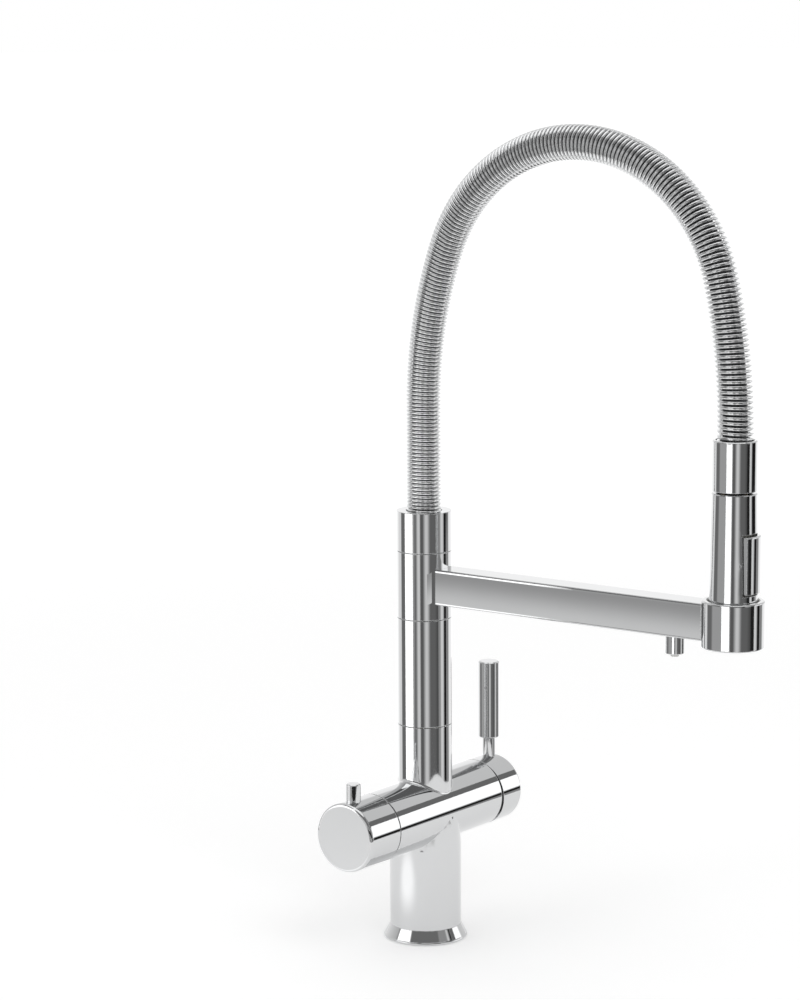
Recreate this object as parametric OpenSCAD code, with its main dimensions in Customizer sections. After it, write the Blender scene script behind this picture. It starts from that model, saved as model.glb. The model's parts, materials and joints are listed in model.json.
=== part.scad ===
// Kitchen mixer tap with a separate drinking water line, a spring neck and a docking arm.
// The tap stands on the worktop at z = 0, its column runs up Z, the arm points along -Y
// and the cross tube lies along X: drinking water knob at -X, mixer knob at +X.

/* [Column] */
// Diameter of the column and its collars
column_d = 35; // [32:0.5:38]
// Height of the top of the valve body's collar above the worktop
collar_top = 141.8; // [134:0.2:160]
// Length of the plain sleeve above the valve body
sleeve_len = 69.4; // [60:0.2:110]
// Length of the swivel collar that carries the arm
swivel_len = 43; // [40:0.2:60]
// Length of the top collar that holds the spring
socket_len = 25.6; // [24:0.2:40]
// Joint line between two pieces of the column or of the spray head
seam = 0.4; // [0.3:0.1:0.8]
// Outer diameter of the brass post inside the column
post_d = 24; // [23:0.5:26]

/* [Valve body] */
// Diameter of the upright body
body_d = 46.5; // [44.5:0.1:50]
// Diameter of the cross tube and of both knobs
cross_d = 44.2; // [43:0.1:46.5]
// Length of the cross tube between the two knobs
cross_len = 110.8; // [108:0.2:130]
// Height of the cross tube's axis above the worktop
cross_z = 83.7; // [78:0.1:95]
// Radius of the blend between the collar and the cross tube
fillet_r = 2.2; // [1:0.1:3]
// Diameter of the flared foot
foot_d = 54.6; // [51:0.2:60]
// Height of the flared foot
foot_h = 9; // [7:0.1:14]
// Radius of the foot's lower lip
lip_r = 1.2; // [1:0.1:2]

/* [Underside] */
// Depth of the hollow under the body
hollow_depth = 26; // [20:0.5:32]
// Diameter of the hollow under the body
hollow_d = 38; // [36:0.2:39]
// Core diameter of the M8 hole for the fixing stud
stud_d = 6.8; // [6.6:0.1:8.4]
// Core diameter of the M10 x 1 holes for the three supply hoses
inlet_d = 9; // [8.6:0.1:9.2]
// Depth of the stud and hose threads
thread_depth = 12; // [10:0.5:14]
// Distance of the drinking water inlet from the centre
filter_inlet_off = 11.5; // [11:0.1:13]
// Forward and backward distance of the hot and cold inlets from the centre
supply_off = 11; // [10.5:0.1:12.5]
// Sideways distance of the hot and cold inlets from the centre
supply_x = 5; // [4:0.1:6]

/* [Drinking water knob] */
// Length of the drinking water knob
filter_knob_len = 30.3; // [28:0.1:36]
// Rounding of a knob's outer rim
rim_r = 2.2; // [0.8:0.1:2.5]
// Diameter of the small lever pin
pin_d = 9.3; // [8:0.1:10]
// Height of the lever pin above the knob
pin_h = 11.2; // [8:0.1:20]
// Distance of the lever pin from the knob's face
pin_inset = 10; // [8:0.1:11]

/* [Mixer knob] */
// Length of the mixer knob along the top
mixer_knob_len = 23; // [21:0.1:28]
// Gap under the mixer knob that lets it tilt
tilt_gap = 4.5; // [4.4:0.1:6]
// Distance of the lever from the mixer knob's face
lever_inset = 6.9; // [6:0.1:8]
// Diameter of the lever's neck
neck_d = 8.4; // [7:0.1:9]
// Length of the lever's neck
neck_len = 12.6; // [8:0.1:20]
// Diameter of the lever's grip
grip_d = 14; // [12:0.1:16]
// Length of the lever's grip
grip_len = 51.6; // [40:0.1:80]

/* [Arm and dock] */
// Distance from the column's axis to the spray head's axis
reach = 229; // [215:0.5:240]
// Height of the arm's section
arm_h = 22.9; // [20:0.1:26]
// Width of the arm's section
arm_w = 17.9; // [16:0.1:20]
// Wall of the arm's tube
arm_wall = 1.8; // [1.5:0.1:2]
// Rounding of the arm's long edges
arm_edge_r = 1; // [0.6:0.1:1.4]
// Diameter of the docking ring
dock_d = 38; // [37:0.2:42]
// Height of the docking ring
dock_h = 28.8; // [26:0.1:34]
// Distance of the drinking water nozzle behind the spray head's axis
nozzle_back = 40.5; // [38:0.5:60]
// Diameter of the drinking water nozzle
nozzle_d = 11.8; // [11:0.1:14]
// Length of the drinking water nozzle below the arm
nozzle_len = 11.5; // [8:0.1:16]

/* [Spray head] */
// Diameter of the spray head at its lower end
head_d = 30.2; // [29.6:0.1:30.4]
// Diameter of the spray head at its upper end
head_top_d = 27.4; // [27:0.1:29]
// Length of the spray head
head_len = 90.1; // [88:0.1:100]
// Length of the ferrule that joins the hose to the head
ferrule_len = 30.6; // [30:0.1:40]
// Diameter of the ferrule
ferrule_d = 27; // [26.4:0.1:28]
// Width of the rocker
rocker_w = 16; // [14:0.1:17]
// Height of the rocker
rocker_h = 34.6; // [33:0.1:38]
// Angle through which the rocker tips
rocker_tip = 7; // [5:0.5:8]
// Number of jets in the outer ring of the spray face
jets = 14; // [8:1:16]

/* [Spring neck] */
// Outer diameter of the spring
spring_d = 22.4; // [22:0.1:22.8]
// Radial thickness of the spring's wire
wire_t = 2.4; // [2:0.1:2.6]
// Curls of the spring
turns = 91; // [60:1:92]
// Least gap between two curls, on the inside of the bend
turn_gap = 0.6; // [0.5:0.05:1]
// Outer diameter of the water hose inside the spring
hose_d = 15; // [13:0.1:15.4]
// Bore of the water hose
hose_bore = 9; // [8.9:0.1:10]
// Bend radius of the leg above the column
rise_r = 283; // [240:1:330]
// Angle turned by the leg above the column
rise_angle = 20.8; // [16:0.1:24]
// Bend radius of the leg above the spray head
fall_r = 359; // [300:1:420]
// Angle turned by the leg above the spray head
fall_angle = 14.2; // [10:0.1:18]
// Straight length of the neck above the ferrule
fall_straight = 5.5; // [2:0.1:10]

/* [Hidden] */
$fn = 96;

// Clearances and overruns
cut = 1;          // overrun of a cut past its face
fit = 0.05;       // radial clearance of a turning or sliding fit
ease = 0.2;       // clearance between fixed pieces
air = 0.35;       // clearance between pieces that only pass each other
bite = 0.02;      // how far a blend reaches into the pieces it joins

// Heights of the column, from the worktop up
sleeve_z = collar_top + seam;
swivel_z = sleeve_z + sleeve_len + seam;
socket_z = swivel_z + swivel_len + seam;
column_top = socket_z + socket_len;
arm_z = swivel_z + swivel_len / 2;
column_r = column_d / 2;
post_r = post_d / 2;

// Post and its seals
post_seat = 24;            // how deep the post sits in the valve body
post_z = collar_top - post_seat;
mixed_bore_d = 8.4;        // waterway for mixed water
filter_way_d = 3.5;        // waterway for drinking water
filter_way_off = 7;        // its distance from the column's axis
seal_d = 1.9;              // thickness of an O-ring on the post
seal_groove_d = 20;        // floor of an O-ring groove
seal_groove_w = 2.3;       // width of an O-ring groove
seal_step = 7.5;           // distance of the nearer O-rings from the drinking water port
seal_step_far = 17.5;      // distance of the further O-rings from the drinking water port
port_groove_w = 4;         // width of the ring groove that feeds the arm
port_groove_d = 21.8;      // floor of that groove
spigot_h = 4.3;            // height of the swivel collar's upper spigot
spigot_d = 28.8;           // diameter of that spigot
clip_t = 1;                // thickness of the retaining ring
clip_d = 27.2;             // outer diameter of the retaining ring
clip_groove_d = 21.8;      // floor of the retaining ring's groove
clip_z = socket_z - seam + spigot_h + ease;
slip_t = 1.6;              // thickness of the slip ring
slip_d = 30.6;             // outer diameter of the slip ring
socket_floor_t = 3;        // wall between the post and the spring's seat
socket_depth = 10;         // depth of the spring's seat in the top collar
socket_floor_z = column_top - socket_depth;
post_top = socket_floor_z - socket_floor_t - ease;
top_seal_z = post_top - seal_d - ease;
clip_room_h = 1.4;         // headroom over the retaining ring

// Valve body
body_r = body_d / 2;
cross_r = cross_d / 2;
mouth_x = cross_len / 2;
foot_r = foot_d / 2;
foot_spigot_d = 43;        // part of the body that stands in the foot
foot_wall_z = 1.2;         // height of the body's lower end above the worktop
base_seal_in = 44;         // inner diameter of the seal under the foot
base_seal_out = 49;        // outer diameter of the seal under the foot
base_seal_t = 1.5;         // thickness of the seal under the foot
web_z = hollow_depth + thread_depth;
supply_way_d = 6;          // waterways of hot and cold water
supply_drop = 4;           // how far the supply ports lie below the cross tube's axis
filter_feed_d = 6;         // waterway of unmixed drinking water
filter_out_z = 14;         // height of the drinking water outlet over the cross tube's axis
fillet_steps = 72;
fillet_arc_steps = 6;

// Mixer cartridge, measured from the mouth of the cross tube
pocket_d = 35.2;           // bore for the cartridge
pocket_depth = 45.4;       // depth of that bore
cartridge_d = 34.8;
cartridge_len = 29.8;
cartridge_wall = 2.4;
cartridge_floor_t = 3;
cartridge_neck_d = 27;
cartridge_neck_len = 12;
rotor_d = 22.8;            // turning carrier of the stem
rotor_in = 14.4;           // how far the carrier reaches inward from the mouth
rotor_out = 4.6;           // how far it reaches outward from the mouth
disc_t = 4;                // thickness of a ceramic disc
mixer_disc_d = 27;
mixer_disc_small_d = 24;
nut_len = 7;
nut_slot_w = 4;
dome_out = 6.1;            // how far the dome stands out of the mouth
dome_skirt = 8;            // how deep the dome's skirt sits in the mouth
dome_bore_d = 28;
pivot_out = 0.6;           // tilt axis, outward from the mouth
pivot_x = mouth_x + pivot_out;
stem_w = 8;
stem_h = 9;
stem_in = 11.4;            // how far the stem reaches inward from the mouth
stem_out = 18.4;           // how far it reaches outward from the mouth
slot_h = 17;               // height of the carrier's slot, in which the stem tilts
slot_end_gap = 1;          // room behind the stem in that slot
axle_d = 3;
axle_len = 19;
knob_wall = 1.9;
dome_gap = 0.5;            // between the dome and the knob
dome_r = cross_r - knob_wall - dome_gap;
cavity_out = 11.1;         // end of the mixer knob's hollow, outward from the mouth
grip_chamfer = 0.7;
clamp_d = 5;               // clamping stud of a lever

// Drinking water valve, measured from the mouth of the cross tube
headwork_d = 20.4;
headwork_bore_d = 14.2;
hex_af = 24;               // width across the flats of the headwork's hexagon
hex_t = 4.5;
hex_room_d = 30;
hex_room_depth = 9.4;
valve_neck_d = 16;
valve_neck_len = 10;
filter_pocket_depth = 31.4;
headwork_len = filter_pocket_depth - hex_room_depth;
chamber_d = 32;            // ring chamber round the headwork
chamber_len = 8;
chamber_in = 17.4;         // start of that chamber, inward from the mouth
window_d = 6;
spindle_d = 8;
spindle_head_d = 13;
spindle_head_t = 5;
filter_disc_d = 13.8;
filter_disc_t = 2.6;
spindle_stop = 5;          // distance from the knob's face to the spindle's end
filter_cavity_len = 14.5;  // depth of the drinking water knob's hollow
knob_bore_fit = 0.05;

// Arm, dock and nozzle
dock_r = dock_d / 2;
nozzle_y = reach - nozzle_back;
saddle = 0.05;             // gap where the arm meets a round piece
arm_spigot_len = 7;        // how deep a spigot reaches into the arm
line_d = 6;                // drinking water line inside the arm
line_bore = 4;
line_seat = 4;             // how deep the line sits in a socket
elbow_w = 12;
elbow_h = 16;
nozzle_neck_d = 9.6;
nozzle_neck_len = 7;
nozzle_bore = 5.3;
insert_d = 5.2;
insert_len = 3.6;
insert_out = 1.8;
insert_way_d = 1.2;
insert_way_off = 1.5;
dock_bore_d = 32.4;
dock_lip_t = 1.8;
dock_lip_d = 29.2;
dock_edge_r = 1;
sleeve_wall = 0.65;        // wall of the dock's plastic sleeve
sleeve_lip_t = 1.6;
sleeve_lip_d = 27.2;
sleeve_drop = 0.5;         // how far the sleeve ends below the dock's rim
dock_z = arm_z - dock_h / 2;
dock_top = dock_z + dock_h;
nozzle_z = arm_z - arm_h / 2 - nozzle_len;

// Spray head, from its seat in the dock upward
head_z = dock_z + dock_lip_t + sleeve_lip_t + ease + ease / 2;
head_top = head_z + head_len;
head_r = head_d / 2;
head_top_r = head_top_d / 2;
head_edge_r = 1.2;
shell_bore_d = 24.4;
shell_mouth_d = 26;
shell_mouth_h = 7;
shell_lid_t = 3;
shell_lid_bore = 16;
core_d = 24;
core_lift = 8.8;           // distance of the core from the head's lower end
core_cup_h = 5.4;
core_cup_d = 21.6;
core_neck_d = 15.6;
channel_d = 6;
tail_socket_len = 16.5;
check_d = 10.8;
check_len = 10;
check_bore = 7;
rocker_r = 16.1;           // outer surface of the rocker, from the head's axis
rocker_back = 11;          // back of the rocker, from the head's axis
rocker_up = 30.4;          // lower edge of the rocker above the head's lower end
rocker_side_gap = 0.9;
rocker_end_gap = 1.3;
rocker_lug_d = 4.4;
rocker_edge_r = 1;
recess_floor = 7.2;        // floor of the rocker's recess, from the head's axis
axle_off = 9.6;            // rocker's axle, from the head's axis
rocker_axle_d = 2;
rocker_axle_len = 19.6;
rocker_z = head_z + rocker_up;
rocker_mid = rocker_z + rocker_h / 2;
spool_down = 11;           // spool below the rocker's axle
spool_d = 4.8;
spool_in = 9;              // how far the spool reaches behind the head's axis
spool_gap = 0.15;
spool_seat_d = 3.4;
face_d = 25.6;
face_t = 5;
mat_d = 23.4;
mat_t = 2.6;
jet_ring_d = 18.6;
jet_d = 1.9;
jet_inner_count_share = 0.5;
jet_out = 0.5;
jet_gap = 0.2;
aerator_d = 10.8;
aerator_t = 7.6;
aerator_wall = 0.9;
aerator_grid_t = 2.4;
grid_hole_d = 1.3;
grid_pitch = 1.9;
grid_rings = 2;

// Ferrule and hose tail
spin_gap = 1;              // open seam at which the head turns on the ferrule
ferrule_z = head_top + spin_gap;
ferrule_top = ferrule_z + ferrule_len;
ferrule_seat = 14.8;       // depth of the spring's seat in the ferrule
ferrule_cup_h = 5.7;
ferrule_cup_d = 22;
ferrule_web_z = ferrule_top - ferrule_seat;
tail_d = 12;
tail_thread_d = 13;
tail_flange_d = 17;
tail_flange_t = 2.5;
tail_reach = 15;           // how deep the tail reaches into the spray core
barb_d = 8.8;
barb_len = 15;
barb_rib = 0.35;
barbs = 4;
barb_bore = 6;
tail_seal_d = 1.6;
tail_seal_up = 6;          // seal above the tail's lower end
chamfer = 0.6;

// Neck: two large arcs and a crown between two straight stretches
spring_r = spring_d / 2;
seat_gap = 0.4;            // between the spring and the bore it sits in
spring_seat_d = spring_d + 2 * seat_gap;
nipple_flange_t = 2;
nipple_flange_d = 14.4;
nipple_thread_d = 11;
crown_r = (reach - rise_r * (1 - cos(rise_angle)) - fall_r * (1 - cos(fall_angle)))
    / (cos(rise_angle) + cos(fall_angle));
fall_end_z = ferrule_top + fall_straight;
crown_top_z = fall_end_z + fall_r * sin(fall_angle) + crown_r * (1 - sin(fall_angle));
rise_z = crown_top_z - crown_r * (1 - sin(rise_angle)) - rise_r * sin(rise_angle);
rise_len = rise_r * rise_angle * PI / 180;
crown_angle = 180 - rise_angle - fall_angle;
crown_len = crown_r * crown_angle * PI / 180;
fall_len = fall_r * fall_angle * PI / 180;
coil_r = spring_r - wire_t / 2;
rings_per_turn = 8;
wire_sides = 6;
hose_sides = 24;
hose_steps = [5, 36, 4];   // rings of the hose along its three bends

// Route of the neck: [y, z, heading], with the heading turned from +Z towards -Y
function on_rise(a) = [-rise_r * (1 - cos(a)), rise_z + rise_r * sin(a), a];
function on_crown(a) = let(p = on_rise(rise_angle))
    [p[0] - crown_r * (cos(rise_angle) - cos(a)), p[1] + crown_r * (sin(a) - sin(rise_angle)), a];
function on_fall(a) = let(p = on_crown(180 - fall_angle))
    [p[0] - fall_r * (cos(180 - fall_angle) - cos(a)),
     p[1] + fall_r * (sin(a) - sin(180 - fall_angle)), a];
function neck_at(s, z0) = let(s1 = rise_z - z0, s2 = s1 + rise_len, s3 = s2 + crown_len,
        s4 = s3 + fall_len)
    s < s1 ? [0, z0 + s, 0]
    : s < s2 ? on_rise(rise_angle * (s - s1) / rise_len)
    : s < s3 ? on_crown(rise_angle + crown_angle * (s - s2) / crown_len)
    : s < s4 ? on_fall(180 - fall_angle + fall_angle * (s - s3) / fall_len)
    : [-reach, fall_end_z - (s - s4), 180];
function neck_length(z0, z1) = rise_z - z0 + rise_len + crown_len + fall_len + fall_end_z - z1;

// Hose: one tube on the same route
hose_z0 = socket_floor_z + nipple_flange_t + ease;
hose_stations = let(s1 = rise_z - hose_z0, s2 = s1 + rise_len, s3 = s2 + crown_len)
    concat([0], [for (i = [0:hose_steps[0]]) s1 + rise_len * i / hose_steps[0]],
        [for (i = [1:hose_steps[1]]) s2 + crown_len * i / hose_steps[1]],
        [for (i = [1:hose_steps[2]]) s3 + fall_len * i / hose_steps[2]],
        [neck_length(hose_z0, ferrule_web_z + ease)]);

// Spring: one unbroken tube with an oval section, wound on the route
spring_span = neck_length(socket_floor_z, ferrule_web_z);
pitch = (spring_span - 2 * ease) / (turns + 1);
wire_w = pitch * (1 - spring_r / crown_r) - turn_gap;
spring_z0 = socket_floor_z + ease + wire_w / 2;
spring_run = spring_span - 2 * ease - wire_w;
spring_rings = turns * rings_per_turn + 1;
spring_points = [for (k = [0:spring_rings - 1]) let(c = neck_at(spring_run * k / (spring_rings - 1),
        spring_z0), h = c[2], w = 360 * k / rings_per_turn,
        out = [sin(w), cos(w) * cos(h), cos(w) * sin(h)], along = [0, -sin(h), cos(h)])
    for (j = [0:wire_sides - 1]) let(a = 360 * j / wire_sides)
        [0, c[0], c[1]] + (coil_r + wire_t / 2 * sin(a)) * out + wire_w / 2 * cos(a) * along];
spring_gap = min([for (k = [0:spring_rings - 1 - rings_per_turn]) for (j = [0:wire_sides - 1])
    for (m = [0:wire_sides - 1]) norm(spring_points[k * wire_sides + j]
        - spring_points[(k + rings_per_turn) * wire_sides + m])]);
echo(spring_least_gap = spring_gap, spring_pitch = pitch, wire_width = wire_w,
    crown_radius = crown_r, crown_top = crown_top_z, rise_start = rise_z, neck_run = spring_span);

// Shared shapes
module tube(outer_d, inner_d, length) {
    difference() {
        cylinder(d = outer_d, h = length);
        translate([0, 0, -cut]) cylinder(d = inner_d, h = length + 2 * cut);
    }
}

module rounded_end(d, length, r) {
    rotate_extrude() {
        square([d / 2 - r, length]);
        square([d / 2, length - r]);
        translate([d / 2 - r, length - r]) circle(r = r);
    }
}

module chamfered_rod(d, length, c) {
    rotate_extrude() polygon([[0, 0], [d / 2 - c, 0], [d / 2, c], [d / 2, length - c],
        [d / 2 - c, length], [0, length]]);
}

module o_ring(mid_d, section_d) {
    rotate_extrude() translate([mid_d / 2, 0]) circle(d = section_d);
}

module groove(z, floor_d, outer_d, w) {
    translate([0, 0, z - w / 2]) tube(outer_d + 2 * cut, floor_d, w);
}

module rounded_bar(w, h, length, r) {
    for (x = [-1, 1], y = [-1, 1])
        translate([x * (w / 2 - r), y * (h / 2 - r), 0]) cylinder(r = r, h = length);
    translate([-w / 2, -h / 2 + r, 0]) cube([w, h - 2 * r, length]);
    translate([-w / 2 + r, -h / 2, 0]) cube([w - 2 * r, h, length]);
}

// Places: each turns its children's +Z along the named direction of the tap
module to_right(x) { translate([x, 0, cross_z]) rotate([0, 90, 0]) children(); }
module to_left(x) { translate([-x, 0, cross_z]) rotate([0, -90, 0]) children(); }
module at_head(z) { translate([0, -reach, z]) children(); }

// Foot and underside
module base_ring() color("silver") {
    rotate_extrude() difference() {
        union() {
            polygon([[foot_spigot_d / 2 + ease, lip_r], [foot_r, lip_r],
                [body_r, foot_h], [foot_spigot_d / 2 + ease, foot_h]]);
            translate([foot_r - lip_r, lip_r]) circle(r = lip_r);
            translate([foot_spigot_d / 2 + ease, 0])
                square([foot_r - lip_r - foot_spigot_d / 2 - ease, lip_r + bite]);
        }
        translate([0, -cut]) square([base_seal_out / 2 + ease, base_seal_t + ease + cut]);
    }
}

module base_seal() color("dimgray")
    tube(base_seal_out, base_seal_in, base_seal_t);

// Cast body: upright, cross tube, collar, pockets and waterways
function blend_centre(a) = let(x = (column_r + fillet_r) * cos(a), y = (column_r + fillet_r) * sin(a))
    [x, y, sqrt(pow(cross_r + fillet_r, 2) - y * y)];
function blend_ring(a) = let(c = blend_centre(a), share = cross_r / (cross_r + fillet_r),
        u = -[cos(a), sin(a), 0], v = ([c[0], c[1] * share, c[2] * share] - c) / fillet_r,
        turn = acos(u * v))
    [for (i = [0:fillet_arc_steps]) let(t = turn * i / fillet_arc_steps)
        c + (fillet_r + bite) * (sin(turn - t) * u + sin(t) * v) / sin(turn),
     [(column_r - fillet_r) * cos(a), (column_r - fillet_r) * sin(a), c[2] * share - fillet_r]];

module collar_blend() {
    rows = fillet_arc_steps + 2;
    points = [for (i = [0:fillet_steps - 1]) each blend_ring(360 * i / fillet_steps)];
    faces = [for (i = [0:fillet_steps - 1], j = [0:rows - 1]) let(n = (i + 1) % fillet_steps,
            m = (j + 1) % rows, a = i * rows + j, b = n * rows + j, c = n * rows + m, d = i * rows + m)
        each [[a, b, c], [a, c, d]]];
    translate([0, 0, cross_z]) polyhedron(points, faces);
}

module valve_body() color("silver") {
    difference() {
        union() {
            translate([0, 0, foot_wall_z]) cylinder(d = foot_spigot_d, h = foot_h);
            translate([0, 0, foot_h]) cylinder(r = body_r, h = cross_z - cross_r - foot_h);
            translate([0, 0, cross_z - cross_r]) cylinder(r1 = body_r, r2 = cross_r - ease / 2, h = cross_r);
            to_right(-mouth_x) cylinder(r = cross_r, h = cross_len);
            translate([0, 0, cross_z]) cylinder(r = column_r, h = collar_top - cross_z);
            collar_blend();
        }
        underside();
        supply_ways();
        column_ways();
        mixer_pocket();
        filter_pocket();
    }
}

module underside() {
    translate([0, 0, -cut]) cylinder(d = hollow_d, h = web_z + cut);
}

// Brass block in the hollow, which takes the stud and the three supply hoses
module inlet_block() color("goldenrod")
    difference() {
        translate([0, 0, hollow_depth]) cylinder(d = hollow_d - 2 * ease, h = thread_depth - ease);
        translate([0, 0, hollow_depth - cut]) cylinder(d = stud_d, h = thread_depth + cut);
        for (p = inlet_places()) translate([p[0], p[1], hollow_depth - cut])
            cylinder(d = inlet_d, h = thread_depth + cut);
    }

function inlet_places() = [[supply_x, supply_off], [supply_x, -supply_off], [-filter_inlet_off, 0]];

module supply_ways() {
    port_z = cross_z - supply_drop;
    for (s = [-1, 1]) translate([supply_x, s * supply_off, 0]) {
        translate([0, 0, web_z - cut]) cylinder(d = supply_way_d, h = port_z - web_z + cut);
        translate([0, 0, port_z]) sphere(d = supply_way_d);
        translate([0, 0, port_z]) rotate([0, 90, 0])
            cylinder(d = supply_way_d, h = mouth_x - pocket_depth - supply_x + cut);
    }
    translate([-filter_inlet_off, 0, 0]) {
        translate([0, 0, web_z - cut]) cylinder(d = filter_feed_d, h = cross_z - web_z + cut);
        translate([0, 0, cross_z]) sphere(d = filter_feed_d);
        translate([0, 0, cross_z]) rotate([0, -90, 0])
            cylinder(d = filter_feed_d, h = mouth_x - filter_pocket_depth - filter_inlet_off + cut);
    }
}

module column_ways() {
    translate([0, 0, post_z]) cylinder(r = post_r + fit, h = post_seat + cut);
    translate([0, 0, cross_z]) cylinder(d = mixed_bore_d, h = post_z - cross_z + cut);
    to_right(0) cylinder(d = mixed_bore_d, h = mouth_x - pocket_depth + cut);
    translate([-filter_way_off, 0, cross_z + filter_out_z])
        cylinder(d = filter_way_d, h = post_z - cross_z - filter_out_z + cut);
    translate([0, 0, filter_out_z]) to_left(filter_way_off)
        cylinder(d = filter_way_d, h = mouth_x - chamber_in - chamber_len / 2 - filter_way_off);
}

module mixer_pocket() {
    to_right(mouth_x - pocket_depth) cylinder(d = pocket_d, h = pocket_depth + cut);
}

module filter_pocket() {
    to_left(mouth_x - filter_pocket_depth) cylinder(d = headwork_d + 2 * fit, h = filter_pocket_depth + cut);
    to_left(mouth_x - chamber_in - chamber_len) cylinder(d = chamber_d, h = chamber_len);
    to_left(mouth_x - hex_room_depth) cylinder(d = hex_room_d, h = hex_room_depth + cut);
}

// Column
module column_post() color("goldenrod") {
    difference() {
        translate([0, 0, post_z + ease]) cylinder(r = post_r, h = post_top - post_z - ease);
        translate([0, 0, post_z - cut]) cylinder(d = mixed_bore_d, h = post_top - post_z + 2 * cut);
        translate([-filter_way_off, 0, post_z - cut])
            cylinder(d = filter_way_d, h = arm_z - post_z + cut + filter_way_d / 2);
        translate([-filter_way_off, 0, arm_z]) rotate([0, -90, 0]) cylinder(d = filter_way_d, h = post_r);
        groove(arm_z, port_groove_d, post_d, port_groove_w);
        for (z = seal_heights()) groove(z, seal_groove_d, post_d, seal_groove_w);
        groove(clip_z + clip_t / 2, clip_groove_d, post_d, clip_t + ease);
    }
}

function seal_heights() = [arm_z - seal_step_far, arm_z - seal_step, arm_z + seal_step,
    arm_z + seal_step_far, top_seal_z];

module post_seals() color("dimgray")
    for (z = seal_heights()) translate([0, 0, z]) o_ring(seal_groove_d + seal_d + 2 * bite, seal_d);

module column_sleeve() color("silver") {
    difference() {
        translate([0, 0, sleeve_z]) tube(column_d, post_d + 2 * ease, sleeve_len);
        translate([0, 0, sleeve_z + sleeve_len - slip_t + ease / 2])
            cylinder(d = slip_d + 2 * ease, h = slip_t + cut);
    }
}

module slip_ring() color("white")
    translate([0, 0, sleeve_z + sleeve_len - slip_t + ease / 2])
        tube(slip_d, post_d + 2 * ease, slip_t + seam - ease);

module retaining_ring() color("gray")
    translate([0, 0, clip_z]) difference() {
        tube(clip_d, clip_groove_d + 2 * fit, clip_t);
        translate([0, -clip_t, -cut]) cube([clip_d, 2 * clip_t, clip_t + 2 * cut]);
    }

// Mixer valve and its knob
module mixer_cartridge() color("whitesmoke") {
    inner_d = cartridge_d - 2 * cartridge_wall;
    to_right(mouth_x - pocket_depth + ease) difference() {
        union() {
            cylinder(d = cartridge_d, h = cartridge_len);
            cylinder(d = cartridge_neck_d, h = cartridge_len + cartridge_neck_len);
        }
        translate([0, 0, cartridge_floor_t])
            cylinder(d = inner_d, h = cartridge_len - cartridge_floor_t - cartridge_wall);
        cylinder(d = rotor_d + 2 * fit, h = 2 * cartridge_len);
        for (s = [-1, 1]) translate([supply_drop, s * supply_off, -cut])
            cylinder(d = supply_way_d, h = cartridge_floor_t + 2 * cut);
    }
    to_right(mouth_x - pocket_depth + ease) difference() {
        cylinder(d = rotor_d + 4 * fit, h = cartridge_floor_t);
        translate([0, 0, -cut]) cylinder(d = mixed_bore_d, h = cartridge_floor_t + 2 * cut);
        for (s = [-1, 1]) translate([supply_drop, s * supply_off, -cut])
            cylinder(d = supply_way_d, h = cartridge_floor_t + 2 * cut);
    }
}

disc_x = mouth_x - pocket_depth + ease + cartridge_floor_t + ease / 2;

module mixer_disc_fixed() color("ivory")
    to_right(disc_x) difference() {
        cylinder(d = mixer_disc_d, h = disc_t);
        translate([0, 0, -cut]) cylinder(d = mixed_bore_d, h = disc_t + 2 * cut);
        for (s = [-1, 1]) translate([supply_drop, s * (supply_off - cut), -cut])
            cylinder(d = supply_way_d - cut, h = disc_t + 2 * cut);
    }

module mixer_disc_moving() color("ivory")
    to_right(disc_x + disc_t + fit) difference() {
        cylinder(d = mixer_disc_small_d, h = disc_t);
        translate([0, 0, -cut]) cylinder(d = mixer_disc_small_d / 2, h = disc_t / 2 + cut);
    }

module cartridge_nut() color("goldenrod")
    to_right(mouth_x - pocket_depth + 2 * ease + cartridge_len) difference() {
        tube(cartridge_d, cartridge_neck_d + 2 * ease, nut_len);
        for (a = [0, 90]) rotate([0, 0, a])
            translate([-cartridge_d, -nut_slot_w / 2, nut_len - nut_slot_w / 2])
                cube([2 * cartridge_d, nut_slot_w, nut_slot_w]);
    }

module mixer_dome() color("silver") {
    difference() {
        union() {
            to_right(mouth_x - dome_skirt) cylinder(d = cartridge_d, h = dome_skirt + ease);
            intersection() {
                to_right(pivot_x) sphere(r = dome_r);
                to_right(mouth_x + ease / 2) cylinder(r = cross_r, h = dome_out);
            }
        }
        to_right(mouth_x - dome_skirt - cut) cylinder(d = dome_bore_d, h = dome_skirt + cross_r);
    }
}

module stem_carrier() color("whitesmoke")
    difference() {
        to_right(mouth_x - rotor_in) cylinder(d = rotor_d, h = rotor_in + rotor_out);
        to_right(mouth_x - stem_in - slot_end_gap) translate([-slot_h / 2, -stem_w / 2 - fit, 0])
            cube([slot_h, stem_w + 2 * fit, stem_in + slot_end_gap + rotor_out + cut]);
        translate([pivot_x, 0, cross_z]) rotate([90, 0, 0])
            cylinder(d = axle_d + 2 * bite, h = 2 * rotor_d, center = true);
    }

module stem_axle() color("gray")
    translate([pivot_x, 0, cross_z]) rotate([90, 0, 0]) cylinder(d = axle_d, h = axle_len, center = true);

module mixer_stem() color("gray")
    difference() {
        to_right(mouth_x - stem_in) translate([-stem_h / 2, -stem_w / 2, 0])
            cube([stem_h, stem_w, stem_in + stem_out]);
        translate([pivot_x, 0, cross_z]) rotate([90, 0, 0])
            cylinder(d = axle_d + 2 * fit, h = 2 * stem_w, center = true);
    }

lever_x = mouth_x + seam + mixer_knob_len - lever_inset;

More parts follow.
